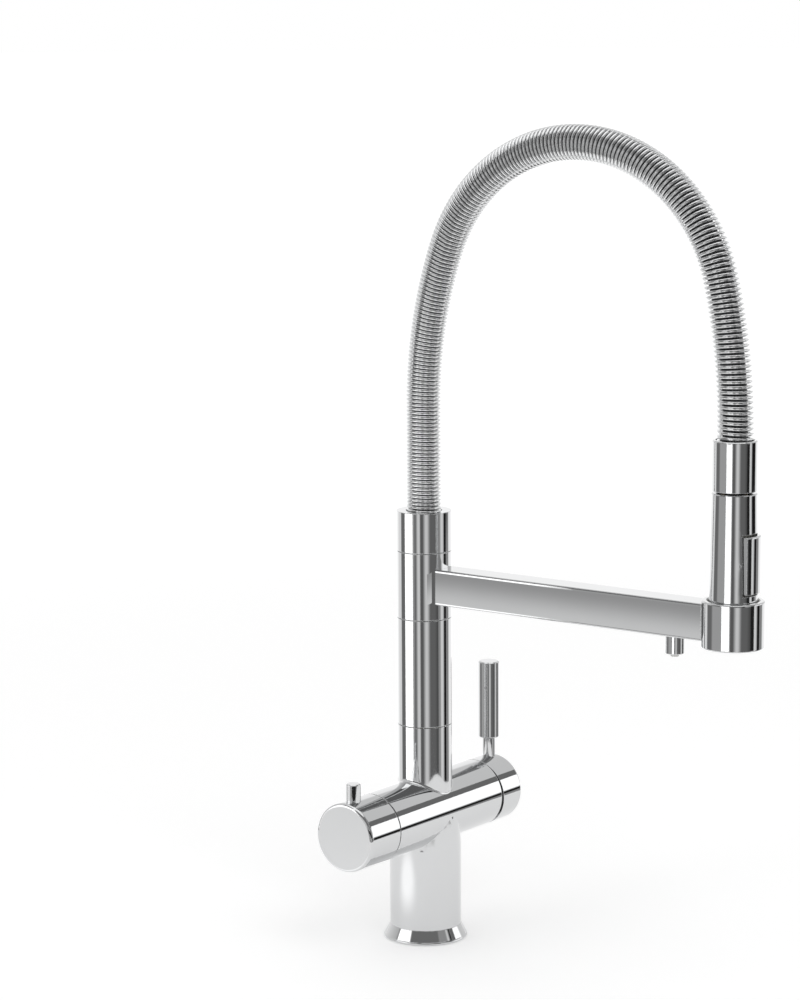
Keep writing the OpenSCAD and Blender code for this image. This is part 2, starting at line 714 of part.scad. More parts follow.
module mixer_knob() color("silver") {
    skirt_mid = (seam + tilt_gap) / 2;
    skirt_tilt = atan((tilt_gap - seam) / cross_d);
    difference() {
        to_right(mouth_x) rounded_end(cross_d, mixer_knob_len + seam, rim_r);
        translate([mouth_x + skirt_mid, 0, cross_z]) rotate([0, -skirt_tilt, 0])
            translate([-cross_d, -cross_d, -cross_d]) cube([cross_d, 2 * cross_d, 2 * cross_d]);
        to_right(mouth_x - cut) cylinder(r = cross_r - knob_wall, h = cavity_out + cut);
        to_right(mouth_x) translate([-stem_h / 2 - fit, -stem_w / 2 - fit, 0])
            cube([stem_h + 2 * fit, stem_w + 2 * fit, stem_out + ease]);
        translate([lever_x, 0, cross_z]) {
            cylinder(d = clamp_d + 2 * fit, h = cross_r);
            translate([0, 0, cross_r - neck_seat]) cylinder(d = neck_d + 2 * fit, h = neck_seat + cut);
        }
    }
}

neck_seat = 4;             // how deep a lever's foot sits in its knob

module lever_neck() color("silver")
    translate([lever_x, 0, cross_z]) {
        translate([0, 0, stem_h / 2 + ease]) cylinder(d = clamp_d, h = cross_r);
        translate([0, 0, cross_r - neck_seat + fit]) chamfered_rod(neck_d, neck_seat + neck_len - 2 * fit, chamfer / 2);
    }

module lever_grip() color("silver")
    difference() {
        translate([lever_x, 0, cross_z + cross_r + neck_len]) chamfered_rod(grip_d, grip_len, grip_chamfer);
        translate([lever_x, 0, cross_z]) cylinder(d = clamp_d + 2 * fit, h = cross_r + cross_r + fit);
    }

// Drinking water valve and its knob
headwork_end = mouth_x - filter_pocket_depth + ease;

module filter_headwork() color("goldenrod")
    to_left(headwork_end) difference() {
        union() {
            cylinder(d = headwork_d, h = headwork_len);
            translate([0, 0, headwork_len]) cylinder(d = hex_af / cos(30), h = hex_t, $fn = 6);
            translate([0, 0, headwork_len + hex_t]) cylinder(d = valve_neck_d, h = valve_neck_len);
        }
        translate([0, 0, -cut]) cylinder(d = headwork_bore_d, h = disc_room + cut);
        cylinder(d = spindle_d + 2 * fit, h = 2 * headwork_len);
        translate([0, 0, filter_pocket_depth - chamber_in - chamber_len / 2])
            rotate([0, 90, 0]) cylinder(d = window_d, h = headwork_d, center = true);
    }

disc_room = filter_disc_t * 2 + spindle_head_t + 4 * ease;

module filter_disc_fixed() color("ivory")
    to_left(headwork_end + ease) difference() {
        cylinder(d = filter_disc_d, h = filter_disc_t);
        for (s = [-1, 1]) translate([0, s * filter_disc_d / 4, -cut])
            cylinder(d = filter_disc_d / 4, h = filter_disc_t + 2 * cut);
    }

module filter_disc_moving() color("ivory")
    to_left(headwork_end + ease + filter_disc_t + fit) difference() {
        cylinder(d = filter_disc_d, h = filter_disc_t);
        for (s = [-1, 1]) translate([s * filter_disc_d / 4, 0, -cut])
            cylinder(d = filter_disc_d / 4, h = filter_disc_t + 2 * cut);
    }

filter_seam = 0.9;         // open seam at which the drinking water knob turns
filter_face_x = mouth_x + seam + filter_knob_len;

module filter_spindle() color("goldenrod") {
    head_x = headwork_end + ease + 2 * filter_disc_t + 2 * fit;
    to_left(head_x) difference() {
        union() {
            cylinder(d = spindle_head_d, h = spindle_head_t);
            cylinder(d = spindle_d, h = filter_face_x - spindle_stop - head_x);
        }
        translate([0, 0, -cut]) cylinder(d = filter_disc_d / 4, h = spindle_head_t + cut);
        translate([0, 0, spindle_head_t / 2]) rotate([90, 0, 0])
            cylinder(d = filter_disc_d / 4, h = spindle_head_d + cut, center = true);
    }
}

module filter_knob() color("silver")
    difference() {
        to_left(mouth_x + filter_seam) rounded_end(cross_d, filter_knob_len + seam - filter_seam, rim_r);
        to_left(mouth_x) cylinder(r = cross_r - 2 * knob_wall, h = seam + filter_cavity_len);
        to_left(mouth_x) cylinder(d = spindle_d + 2 * knob_bore_fit,
            h = seam + filter_knob_len - spindle_stop + ease);
        translate([-filter_face_x + pin_inset, 0, cross_z]) {
            cylinder(d = clamp_d + 2 * fit, h = cross_r + cut);
            translate([0, 0, cross_r - neck_seat / 2]) cylinder(d = pin_d + 2 * fit, h = neck_seat);
        }
    }

module filter_pin() color("silver")
    translate([-filter_face_x + pin_inset, 0, cross_z]) {
        translate([0, 0, spindle_d / 2 + ease]) cylinder(d = clamp_d, h = cross_r - spindle_d / 2);
        translate([0, 0, cross_r - neck_seat / 2 + fit])
            chamfered_rod(pin_d, pin_h + neck_seat / 2 - fit, chamfer);
    }

// Swivel collar, arm and drinking water line
module arm_spigot(gap) {
    w = arm_w - 2 * arm_wall - 2 * gap;
    h = arm_h - 2 * arm_wall - 2 * gap;
    translate([-w / 2, -h / 2, 0]) cube([w, h, 2 * arm_spigot_len]);
}

module arm_collar() color("silver")
    difference() {
        union() {
            translate([0, 0, swivel_z]) cylinder(d = column_d, h = swivel_len);
            translate([0, 0, swivel_z + swivel_len - bite]) cylinder(d = spigot_d, h = spigot_h + bite);
            translate([0, arm_spigot_len - column_r, arm_z]) rotate([90, 0, 0]) arm_spigot(ease);
        }
        translate([0, 0, swivel_z - cut]) cylinder(r = post_r + fit, h = swivel_len + spigot_h + 2 * cut);
        translate([0, 0, arm_z]) rotate([90, 0, 0]) cylinder(d = line_bore, h = 2 * column_r);
        translate([0, line_seat - column_r - arm_spigot_len, arm_z]) rotate([90, 0, 0])
            cylinder(d = line_d + 2 * fit, h = line_seat + cut);
    }

module support_arm() color("silver")
    difference() {
        translate([0, 0, arm_z]) rotate([90, 0, 0]) difference() {
            rounded_bar(arm_w, arm_h, reach, arm_edge_r);
            translate([arm_wall - arm_w / 2, arm_wall - arm_h / 2, -cut])
                cube([arm_w - 2 * arm_wall, arm_h - 2 * arm_wall, reach + 2 * cut]);
        }
        translate([0, 0, arm_z - arm_h]) cylinder(r = column_r + saddle, h = 2 * arm_h);
        at_head(arm_z - arm_h) cylinder(r = dock_r + saddle, h = 2 * arm_h);
        translate([0, -nozzle_y, arm_z - arm_h]) cylinder(d = nozzle_neck_d + 2 * fit, h = arm_h);
    }

line_start = column_r + arm_spigot_len - line_seat + ease;
line_end = nozzle_y - elbow_w / 2 + line_seat - ease;

module filter_tube() color("white")
    translate([0, -line_start, arm_z]) rotate([90, 0, 0]) tube(line_d, line_bore, line_end - line_start);

module nozzle_elbow() color("goldenrod") {
    floor_z = arm_z - arm_h / 2 + arm_wall + fit;
    difference() {
        translate([-elbow_w / 2, -nozzle_y - elbow_w / 2, floor_z]) cube([elbow_w, elbow_w, elbow_h]);
        translate([0, -nozzle_y, arm_z]) rotate([-90, 0, 0]) cylinder(d = line_bore, h = elbow_w);
        translate([0, -nozzle_y + elbow_w / 2 - line_seat, arm_z]) rotate([-90, 0, 0])
            cylinder(d = line_d + 2 * fit, h = line_seat + cut);
        translate([0, -nozzle_y, floor_z - cut]) cylinder(d = line_bore, h = arm_z - floor_z + cut);
        translate([0, -nozzle_y, floor_z - cut])
            cylinder(d = nozzle_neck_d + 2 * fit, h = nozzle_neck_len - arm_wall + cut);
    }
}

module filter_nozzle() color("silver")
    translate([0, -nozzle_y, nozzle_z]) difference() {
        union() {
            chamfered_rod(nozzle_d, nozzle_len - fit, chamfer / 2);
            cylinder(d = nozzle_neck_d, h = nozzle_len + nozzle_neck_len - fit);
        }
        translate([0, 0, -cut]) cylinder(d = nozzle_bore, h = 2 * nozzle_len + nozzle_neck_len);
    }

module nozzle_insert() color("white")
    translate([0, -nozzle_y, nozzle_z - insert_out]) difference() {
        cylinder(d = insert_d, h = insert_len);
        for (a = [0:72:288]) rotate([0, 0, a]) translate([insert_way_off, 0, -cut])
            cylinder(d = insert_way_d, h = insert_len + 2 * cut);
    }

// Docking ring
module dock_ring() color("silver")
    difference() {
        union() {
            at_head(dock_z) rotate_extrude() difference() {
                union() {
                    translate([dock_lip_d / 2, dock_edge_r]) square([dock_r - dock_lip_d / 2, dock_h - 2 * dock_edge_r]);
                    translate([dock_lip_d / 2, 0]) square([dock_r - dock_edge_r - dock_lip_d / 2, dock_h]);
                    for (z = [dock_edge_r, dock_h - dock_edge_r])
                        translate([dock_r - dock_edge_r, z]) circle(r = dock_edge_r);
                }
                translate([0, dock_lip_t]) square([dock_bore_d / 2, dock_h]);
            }
            intersection() {
                translate([0, dock_r + arm_spigot_len - reach, arm_z]) rotate([90, 0, 0]) arm_spigot(ease);
                at_head(arm_z - arm_h) difference() {
                    cylinder(r = 2 * dock_r, h = 2 * arm_h);
                    translate([0, 0, -cut]) cylinder(r = dock_r - dock_edge_r, h = 2 * arm_h + 2 * cut);
                }
            }
        }
    }

module dock_sleeve() color("dimgray")
    at_head(dock_z + dock_lip_t + fit) difference() {
        cylinder(d = dock_bore_d - 2 * fit, h = dock_h - dock_lip_t - sleeve_drop);
        translate([0, 0, sleeve_lip_t])
            cylinder(d = dock_bore_d - 2 * fit - 2 * sleeve_wall, h = dock_h);
        translate([0, 0, -cut]) cylinder(d = sleeve_lip_d, h = dock_h);
    }

// Top collar and the neck
module top_collar() color("silver")
    difference() {
        translate([0, 0, socket_z]) cylinder(d = column_d, h = socket_len);
        translate([0, 0, socket_z - cut])
            cylinder(d = spigot_d + 2 * fit, h = clip_z + clip_t + clip_room_h - socket_z + cut);
        translate([0, 0, socket_z - cut]) cylinder(r = post_r + fit, h = post_top + ease - socket_z + cut);
        translate([0, 0, socket_z]) cylinder(d = nipple_thread_d + 2 * fit, h = socket_len);
        translate([0, 0, socket_floor_z]) cylinder(d = spring_seat_d, h = socket_depth + cut);
    }

module barbed_rod(length) {
    cylinder(d = barb_d - 2 * barb_rib, h = length);
    step = length / (barbs + 1);
    for (i = [1:barbs]) translate([0, 0, i * step])
        cylinder(d1 = barb_d, d2 = barb_d - 2 * barb_rib, h = step / 2);
}

module hose_nipple() color("goldenrod")
    translate([0, 0, socket_floor_z]) difference() {
        union() {
            translate([0, 0, fit - socket_floor_t]) cylinder(d = nipple_thread_d, h = socket_floor_t);
            cylinder(d = nipple_flange_d, h = nipple_flange_t);
            translate([0, 0, nipple_flange_t]) barbed_rod(barb_len);
        }
        translate([0, 0, -socket_len]) cylinder(d = barb_bore, h = 2 * socket_len + barb_len);
    }

module neck_spring() color("silver") {
    rows = spring_rings;
    sides = wire_sides;
    last = (rows - 1) * sides;
    faces = [
        for (j = [1:sides - 2]) [0, j + 1, j],
        for (k = [0:rows - 2], j = [0:sides - 1]) let(a = k * sides + j, b = k * sides + (j + 1) % sides)
            each [[a, b, b + sides], [a, b + sides, a + sides]],
        for (j = [1:sides - 2]) [last, last + j, last + j + 1]];
    polyhedron(spring_points, faces);
}

module neck_hose() color("gray") {
    n = hose_sides;
    rings = len(hose_stations);
    skin = rings * n;
    end = skin - n;
    points = [for (r = [hose_d / 2, hose_bore / 2], s = hose_stations) let(c = neck_at(s, hose_z0))
        for (j = [0:n - 1]) let(a = 360 * j / n)
            [0, c[0], c[1]] + r * [sin(a), cos(a) * cos(c[2]), cos(a) * sin(c[2])]];
    walls = [for (k = [0:rings - 2], j = [0:n - 1]) let(a = k * n + j, b = k * n + (j + 1) % n)
        each [[a, b, b + n], [a, b + n, a + n],
            [skin + a, skin + b + n, skin + b], [skin + a, skin + a + n, skin + b + n]]];
    ends = [for (j = [0:n - 1]) let(m = (j + 1) % n)
        each [[skin + j, m, j], [skin + j, skin + m, m],
            [skin + end + j, end + j, end + m], [skin + end + j, end + m, skin + end + m]]];
    polyhedron(points, concat(walls, ends));
}

// Ferrule and hose tail
module hose_ferrule() color("silver")
    at_head(ferrule_z) difference() {
        rotate_extrude() polygon([[0, 0], [ferrule_d / 2 - chamfer / 2, 0], [ferrule_d / 2, chamfer / 2],
            [ferrule_d / 2, ferrule_len - chamfer], [ferrule_d / 2 - chamfer, ferrule_len], [0, ferrule_len]]);
        translate([0, 0, -cut]) cylinder(d = ferrule_cup_d, h = ferrule_cup_h + cut);
        cylinder(d = tail_thread_d + 2 * fit, h = ferrule_len);
        translate([0, 0, ferrule_len - ferrule_seat]) cylinder(d = spring_seat_d, h = ferrule_seat + cut);
    }

tail_z = head_top - tail_reach;
tail_flange_z = ferrule_z + ferrule_cup_h - tail_flange_t - fit;

module hose_tail() color("goldenrod")
    at_head(0) difference() {
        union() {
            translate([0, 0, tail_z]) cylinder(d = tail_d, h = tail_flange_z - tail_z + cut);
            translate([0, 0, tail_flange_z]) cylinder(d = tail_flange_d, h = tail_flange_t);
            translate([0, 0, tail_flange_z + tail_flange_t])
                cylinder(d = tail_thread_d, h = ferrule_web_z - tail_flange_z - tail_flange_t);
            translate([0, 0, ferrule_web_z]) barbed_rod(barb_len);
        }
        translate([0, 0, tail_z - cut]) cylinder(d = barb_bore, h = ferrule_top - tail_z + 2 * barb_len);
        translate([0, 0, tail_z + tail_seal_up])
            groove(0, tail_d - 2 * tail_seal_d, tail_d, tail_seal_d + 2 * ease);
    }

module tail_seal() color("dimgray")
    at_head(tail_z + tail_seal_up) o_ring(tail_d - tail_seal_d + bite, tail_seal_d - 2 * bite);

// Spray head
module head_cone(gap, z0, z1) {
    slope = (head_top_r - head_r) / head_len;
    translate([0, 0, z0]) cylinder(r1 = head_r + slope * z0 + gap, r2 = head_r + slope * z1 + gap, h = z1 - z0);
}

module rocker_room(gap, depth) {
    w = rocker_w + 2 * gap;
    h = rocker_h + 2 * gap * rocker_end_gap / rocker_side_gap;
    translate([-w / 2, -reach - 2 * rocker_r, rocker_mid - h / 2]) cube([w, 2 * rocker_r - depth, h]);
}

module spray_shell() color("silver")
    difference() {
        at_head(head_z) {
            head_cone(0, head_edge_r, head_len - chamfer);
            translate([0, 0, head_len - chamfer])
                cylinder(r1 = head_top_r, r2 = head_top_r - chamfer / 2, h = chamfer);
            rounded_end_down(head_d, head_edge_r);
        }
        at_head(head_z - cut) cylinder(d = shell_mouth_d, h = shell_mouth_h + cut);
        at_head(head_z) cylinder(d = shell_bore_d, h = head_len - shell_lid_t);
        at_head(head_z) cylinder(d = shell_lid_bore, h = head_len + cut);
        rocker_room(rocker_side_gap, recess_floor);
        translate([0, -reach - axle_off, rocker_mid]) rotate([0, 90, 0])
            cylinder(d = rocker_axle_d + 2 * bite, h = rocker_axle_len + ease, center = true);
    }

module rounded_end_down(d, r) {
    rotate_extrude() intersection() {
        union() {
            square([d / 2 - r, 2 * r]);
            translate([d / 2 - r, r]) circle(r = r);
        }
        square([d, r + bite]);
    }
}

module spray_core() color("whitesmoke")
    difference() {
        union() {
            at_head(head_z + core_lift) cylinder(d = core_d, h = head_len - shell_lid_t - core_lift - ease);
            at_head(head_z + core_lift) cylinder(d = core_neck_d, h = head_len - core_lift - ease);
        }
        at_head(head_z + core_lift - cut) cylinder(d = core_cup_d, h = core_cup_h + cut);
        at_head(head_z + core_lift) cylinder(d = channel_d, h = head_len);
        at_head(head_top - tail_socket_len) cylinder(d = tail_d + 2 * fit, h = tail_socket_len + cut);
        at_head(head_top - tail_socket_len - check_len - ease) cylinder(d = check_d + 2 * fit, h = check_len + ease + cut);
        rocker_room(rocker_side_gap, recess_floor);
        translate([0, -reach - axle_off, rocker_mid]) rotate([0, 90, 0])
            cylinder(d = rocker_axle_d + 2 * bite, h = 2 * rocker_axle_len, center = true);
        translate([0, -reach - rocker_back, rocker_mid - spool_down]) rotate([-90, 0, 0])
            cylinder(d = spool_d + 2 * fit, h = rocker_back + spool_in + rocker_back * sin(rocker_tip));
    }

module check_valve() color("white")
    at_head(head_top - tail_socket_len - check_len) difference() {
        cylinder(d = check_d, h = check_len);
        translate([0, 0, check_len / 2]) cylinder(d = check_bore, h = check_len);
        for (a = [0:90:270]) rotate([0, 0, a]) translate([check_bore / 4, 0, -cut])
            cylinder(d = check_bore / 4, h = check_len);
    }

function jet_angles(n) = [for (i = [0:n - 1]) 360 * i / n];

module at_jets() {
    inner = floor(jets * jet_inner_count_share);
    for (a = jet_angles(jets)) rotate([0, 0, a]) translate([jet_ring_d / 2, 0, 0]) children();
    inner_ring_d = (jet_ring_d + aerator_d) / 2;
    for (a = jet_angles(inner)) rotate([0, 0, a + 180 / jets]) translate([inner_ring_d / 2, 0, 0]) children();
}

module spray_face() color("gray")
    at_head(head_z + ease / 2) difference() {
        cylinder(d = face_d, h = face_t);
        translate([0, 0, -cut]) cylinder(d = aerator_d + 2 * fit, h = face_t + 2 * cut);
        translate([0, 0, -cut]) at_jets() cylinder(d = jet_d, h = face_t + 2 * cut);
    }

module nozzle_mat() color("lightgray")
    at_head(head_z + ease / 2 + face_t + fit) difference() {
        union() {
            cylinder(d = mat_d, h = mat_t);
            translate([0, 0, -face_t - jet_out]) at_jets() cylinder(d = jet_d - 2 * jet_gap, h = face_t + jet_out + mat_t);
        }
        translate([0, 0, -cut]) cylinder(d = aerator_d + 2 * fit, h = mat_t + 2 * cut);
        translate([0, 0, -face_t - jet_out - cut]) at_jets()
            cylinder(d = jet_d / 3, h = face_t + jet_out + mat_t + 2 * cut);
    }

module aerator() color("white")
    at_head(head_z + ease) difference() {
        cylinder(d = aerator_d, h = aerator_t);
        translate([0, 0, aerator_grid_t]) cylinder(d = aerator_d - 2 * aerator_wall, h = aerator_t);
        translate([0, 0, -cut]) cylinder(d = grid_hole_d, h = aerator_grid_t + 2 * cut);
        for (k = [1:grid_rings], a = jet_angles(6 * k)) rotate([0, 0, a])
            translate([k * grid_pitch, 0, -cut]) cylinder(d = grid_hole_d, h = aerator_grid_t + 2 * cut);
    }

// Rocker and diverter
module spray_rocker() color("silver")
    difference() {
        union() {
            intersection() {
                at_head(rocker_z) rounded_end(2 * rocker_r, rocker_h, rocker_edge_r);
                translate([-rocker_w / 2, -reach - 2 * rocker_r, rocker_z])
                    cube([rocker_w, 2 * rocker_r - rocker_back, rocker_h]);
            }
            translate([0, -reach - axle_off, rocker_mid]) rotate([0, 90, 0])
                cylinder(d = rocker_lug_d, h = rocker_w, center = true);
        }
        translate([0, -reach - axle_off, rocker_mid]) rotate([0, 90, 0])
            cylinder(d = rocker_axle_d + 2 * fit, h = 2 * rocker_w, center = true);
    }

module rocker_axle() color("gray")
    translate([0, -reach - axle_off, rocker_mid]) rotate([0, 90, 0])
        cylinder(d = rocker_axle_d, h = rocker_axle_len, center = true);

module diverter_spool() color("gray")
    translate([0, -reach - rocker_back + spool_gap + spool_d / 2, rocker_mid - spool_down])
        rotate([-90, 0, 0]) difference() {
            union() {
                sphere(d = spool_d);
                cylinder(d = spool_d, h = rocker_back + spool_in - spool_d);
            }
            translate([0, 0, rocker_back - spool_d / 2 - channel_d / 2])
                tube(2 * spool_d, spool_seat_d, channel_d);
        }

base_ring();
base_seal();
inlet_block();
valve_body();
column_post();
post_seals();
column_sleeve();
slip_ring();
retaining_ring();
mixer_cartridge();
mixer_disc_fixed();
mixer_disc_moving();
cartridge_nut();
mixer_dome();
stem_carrier();
stem_axle();
mixer_stem();
mixer_knob();
lever_neck();
lever_grip();
filter_headwork();
filter_disc_fixed();
filter_disc_moving();
filter_spindle();
filter_knob();
filter_pin();
arm_collar();
support_arm();
filter_tube();
nozzle_elbow();
filter_nozzle();
nozzle_insert();
dock_ring();
dock_sleeve();
top_collar();
hose_nipple();
neck_spring();
neck_hose();
hose_ferrule();
hose_tail();
tail_seal();
spray_shell();
spray_core();
check_valve();
spray_face();
nozzle_mat();
aerator();
spray_rocker();
rocker_axle();
diverter_spool();
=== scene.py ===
"""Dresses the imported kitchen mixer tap.

Chrome and plastic finishes, the wound spring neck with its hose, and the studio around it.
"""
import json
import math

import bpy
from bpy.props import FloatProperty, FloatVectorProperty, IntProperty, PointerProperty
from mathutils import Matrix, Vector


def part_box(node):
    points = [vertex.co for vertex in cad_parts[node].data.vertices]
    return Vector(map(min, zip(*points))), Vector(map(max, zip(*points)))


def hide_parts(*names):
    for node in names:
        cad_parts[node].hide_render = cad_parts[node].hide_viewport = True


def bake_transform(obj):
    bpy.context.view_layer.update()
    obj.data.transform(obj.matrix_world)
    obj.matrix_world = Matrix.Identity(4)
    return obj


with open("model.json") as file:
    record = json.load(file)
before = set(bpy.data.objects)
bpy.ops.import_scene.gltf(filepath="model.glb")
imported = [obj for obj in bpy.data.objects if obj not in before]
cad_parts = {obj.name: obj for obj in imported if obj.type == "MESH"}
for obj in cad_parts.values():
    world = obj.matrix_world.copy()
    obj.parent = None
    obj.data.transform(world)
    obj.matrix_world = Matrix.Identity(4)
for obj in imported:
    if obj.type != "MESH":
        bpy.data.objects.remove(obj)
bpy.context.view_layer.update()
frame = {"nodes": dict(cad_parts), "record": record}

bl_info = {
    "name": "Spring Neck Kitchen Tap",
    "version": (1, 0, 0),
    "blender": (4, 5, 0),
    "location": "View3D > Sidebar > Tap",
    "description": "Builds the visible finishes and the spring neck of a kitchen mixer tap",
    "category": "Object",
}

REACH = -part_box("hose_ferrule")[0][1] - (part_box("hose_ferrule")[1][0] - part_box("hose_ferrule")[0][0]) / 2
FERRULE_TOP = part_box("hose_ferrule")[1][2]
SPRING_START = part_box("neck_spring")[0][2]
HOSE_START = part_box("neck_hose")[0][2]


def finish_nodes(slot):
    """The CAD nodes that the record gives to one material slot."""
    return [part["node"] for part in frame["record"]["subparts"] if part["material_slot"] == slot]


# Settings


class NeckSettings(bpy.types.PropertyGroup):
    """Route and winding of the spring neck"""

    rise_radius: FloatProperty(
        name="Rise radius", description="Bend radius of the leg above the column", default=0.283, unit="LENGTH",
    )
    rise_angle: FloatProperty(
        name="Rise angle", description="Angle turned by the leg above the column",
        default=math.radians(20.8), subtype="ANGLE",
    )
    fall_radius: FloatProperty(
        name="Fall radius", description="Bend radius of the leg above the spray head", default=0.359, unit="LENGTH",
    )
    fall_angle: FloatProperty(
        name="Fall angle", description="Angle turned by the leg above the spray head",
        default=math.radians(14.2), subtype="ANGLE",
    )
    fall_straight: FloatProperty(
        name="Straight end", description="Straight length above the ferrule", default=0.0055, unit="LENGTH",
    )
    spring_diameter: FloatProperty(
        name="Spring diameter", description="Outer diameter of the spring", default=0.0224, unit="LENGTH",
    )
    wire: FloatProperty(name="Wire", description="Diameter of the spring wire", default=0.00215, unit="LENGTH")
    turns: IntProperty(name="Turns", description="Turns of the spring", default=205, min=60, max=240)
    stretch: FloatProperty(
        name="Stretch",
        description="How much closer the turns lie at the column, and wider at the ferrule, than the mean",
        default=0.127, min=0.01, max=0.5,
    )
    spring_end: FloatProperty(
        name="Seat in ferrule", description="How far the spring reaches into the ferrule",
        default=0.0146, unit="LENGTH",
    )
    hose_diameter: FloatProperty(
        name="Hose diameter", description="Outer diameter of the water hose", default=0.015, unit="LENGTH",
    )
    hose_bore: FloatProperty(name="Hose bore", description="Bore of the water hose", default=0.009, unit="LENGTH")


class FinishSettings(bpy.types.PropertyGroup):
    """Colours and gloss of the finishes"""

    chrome: FloatVectorProperty(
        name="Chrome", description="Colour of polished chrome", subtype="COLOR", default=(0.66, 0.665, 0.67),
    )
    chrome_gloss: FloatProperty(
        name="Chrome roughness", description="Roughness of polished chrome", default=0.035, min=0, max=1,
    )
    wire: FloatVectorProperty(
        name="Spring wire", description="Colour of the plated spring wire",
        subtype="COLOR", default=(0.8, 0.805, 0.81),
    )
    brass: FloatVectorProperty(
        name="Brass", description="Colour of the unplated brass", subtype="COLOR", default=(0.78, 0.58, 0.28),
    )
    steel: FloatVectorProperty(
        name="Steel", description="Colour of the stainless steel", subtype="COLOR", default=(0.62, 0.61, 0.60),
    )
    rubber: FloatVectorProperty(
        name="Rubber", description="Colour of the black seals", subtype="COLOR", default=(0.018, 0.018, 0.019),
    )
    grey_rubber: FloatVectorProperty(
        name="Jet mat", description="Colour of the soft jet mat", subtype="COLOR", default=(0.25, 0.26, 0.27),
    )
    # The dome's black is painted shade for the dark gap under the mixer knob; the spray face's black is its own
    # colour.
    black_plastic: FloatVectorProperty(
        name="Black plastic", description="Colour of the spray face and the dome",
        subtype="COLOR", default=(0.02, 0.02, 0.022),
    )
    # The dock sleeve's white is a painted highlight: its top stands for the bright rim of the dock.
    white_plastic: FloatVectorProperty(
        name="White plastic", description="Colour of the slip ring, dock sleeve and inserts",
        subtype="COLOR", default=(0.82, 0.82, 0.80),
    )
    valve_plastic: FloatVectorProperty(
        name="Valve plastic", description="Colour of the cartridge and spray core",
        subtype="COLOR", default=(0.62, 0.62, 0.58),
    )
    ceramic: FloatVectorProperty(
        name="Ceramic", description="Colour of the valve discs", subtype="COLOR", default=(0.86, 0.84, 0.78),
    )
    hose: FloatVectorProperty(
        name="Hose", description="Colour of the braided hose", subtype="COLOR", default=(0.06, 0.062, 0.066),
    )


class StudioSettings(bpy.types.PropertyGroup):
    """Floor, light and camera"""

    floor: FloatVectorProperty(
        name="Floor", description="Colour of the floor", subtype="COLOR", default=(0.9, 0.9, 0.9),
    )
    sky: FloatProperty(name="Sky", description="Brightness of the soft light all round", default=0.8, min=0)
    key_power: FloatProperty(
        name="Key light", description="Power of the large soft lamp", default=14.0, unit="POWER",
    )
    fill_power: FloatProperty(
        name="Fill light", description="Power of the second soft lamp", default=5.0, unit="POWER",
    )
    camera_place: FloatVectorProperty(
        name="Camera place", description="Place of the camera", subtype="TRANSLATION",
        default=(-1.5674, -1.1531, 0.5994),
    )
    camera_yaw: FloatProperty(
        name="Camera heading", description="Heading of the camera from -Y",
        default=math.radians(126.79), subtype="ANGLE",
    )
    camera_pitch: FloatProperty(
        name="Camera pitch", description="How far the camera looks down",
        default=math.radians(9.1075), subtype="ANGLE",
    )
    camera_roll: FloatProperty(
        name="Camera roll", description="Roll of the camera", default=math.radians(-0.3242), subtype="ANGLE",
    )
    lens: FloatProperty(name="Lens", description="Focal length on a 36 mm high frame", default=111.027)


# Shader maths


class Wire:
    """One output socket of a shader, with ordinary arithmetic."""

    def __init__(self, shader, socket):
        self.shader = shader
        self.socket = socket

    def maths(self, operation, *values):
        return self.shader.add("ShaderNodeMath", {"operation": operation}, dict(enumerate(values)))

    def __add__(self, other):
        return self.maths("ADD", self, other)

    __radd__ = __add__

    def __sub__(self, other):
        return self.maths("SUBTRACT", self, other)

    def __rsub__(self, other):
        return self.maths("SUBTRACT", other, self)

    def __mul__(self, other):
        return self.maths("MULTIPLY", self, other)

    __rmul__ = __mul__

    def __truediv__(self, other):
        return self.maths("DIVIDE", self, other)

    def __rtruediv__(self, other):
        return self.maths("DIVIDE", other, self)

    def wave(self):
        return self.maths("SINE", self)

    def clamp(self):
        return self.shader.add("ShaderNodeClamp", {}, {"Value": self})

    def step(self, low, high):
        return self.shader.add("ShaderNodeMapRange", {"interpolation_type": "SMOOTHSTEP"},
                               {"Value": self, "From Min": low, "From Max": high})


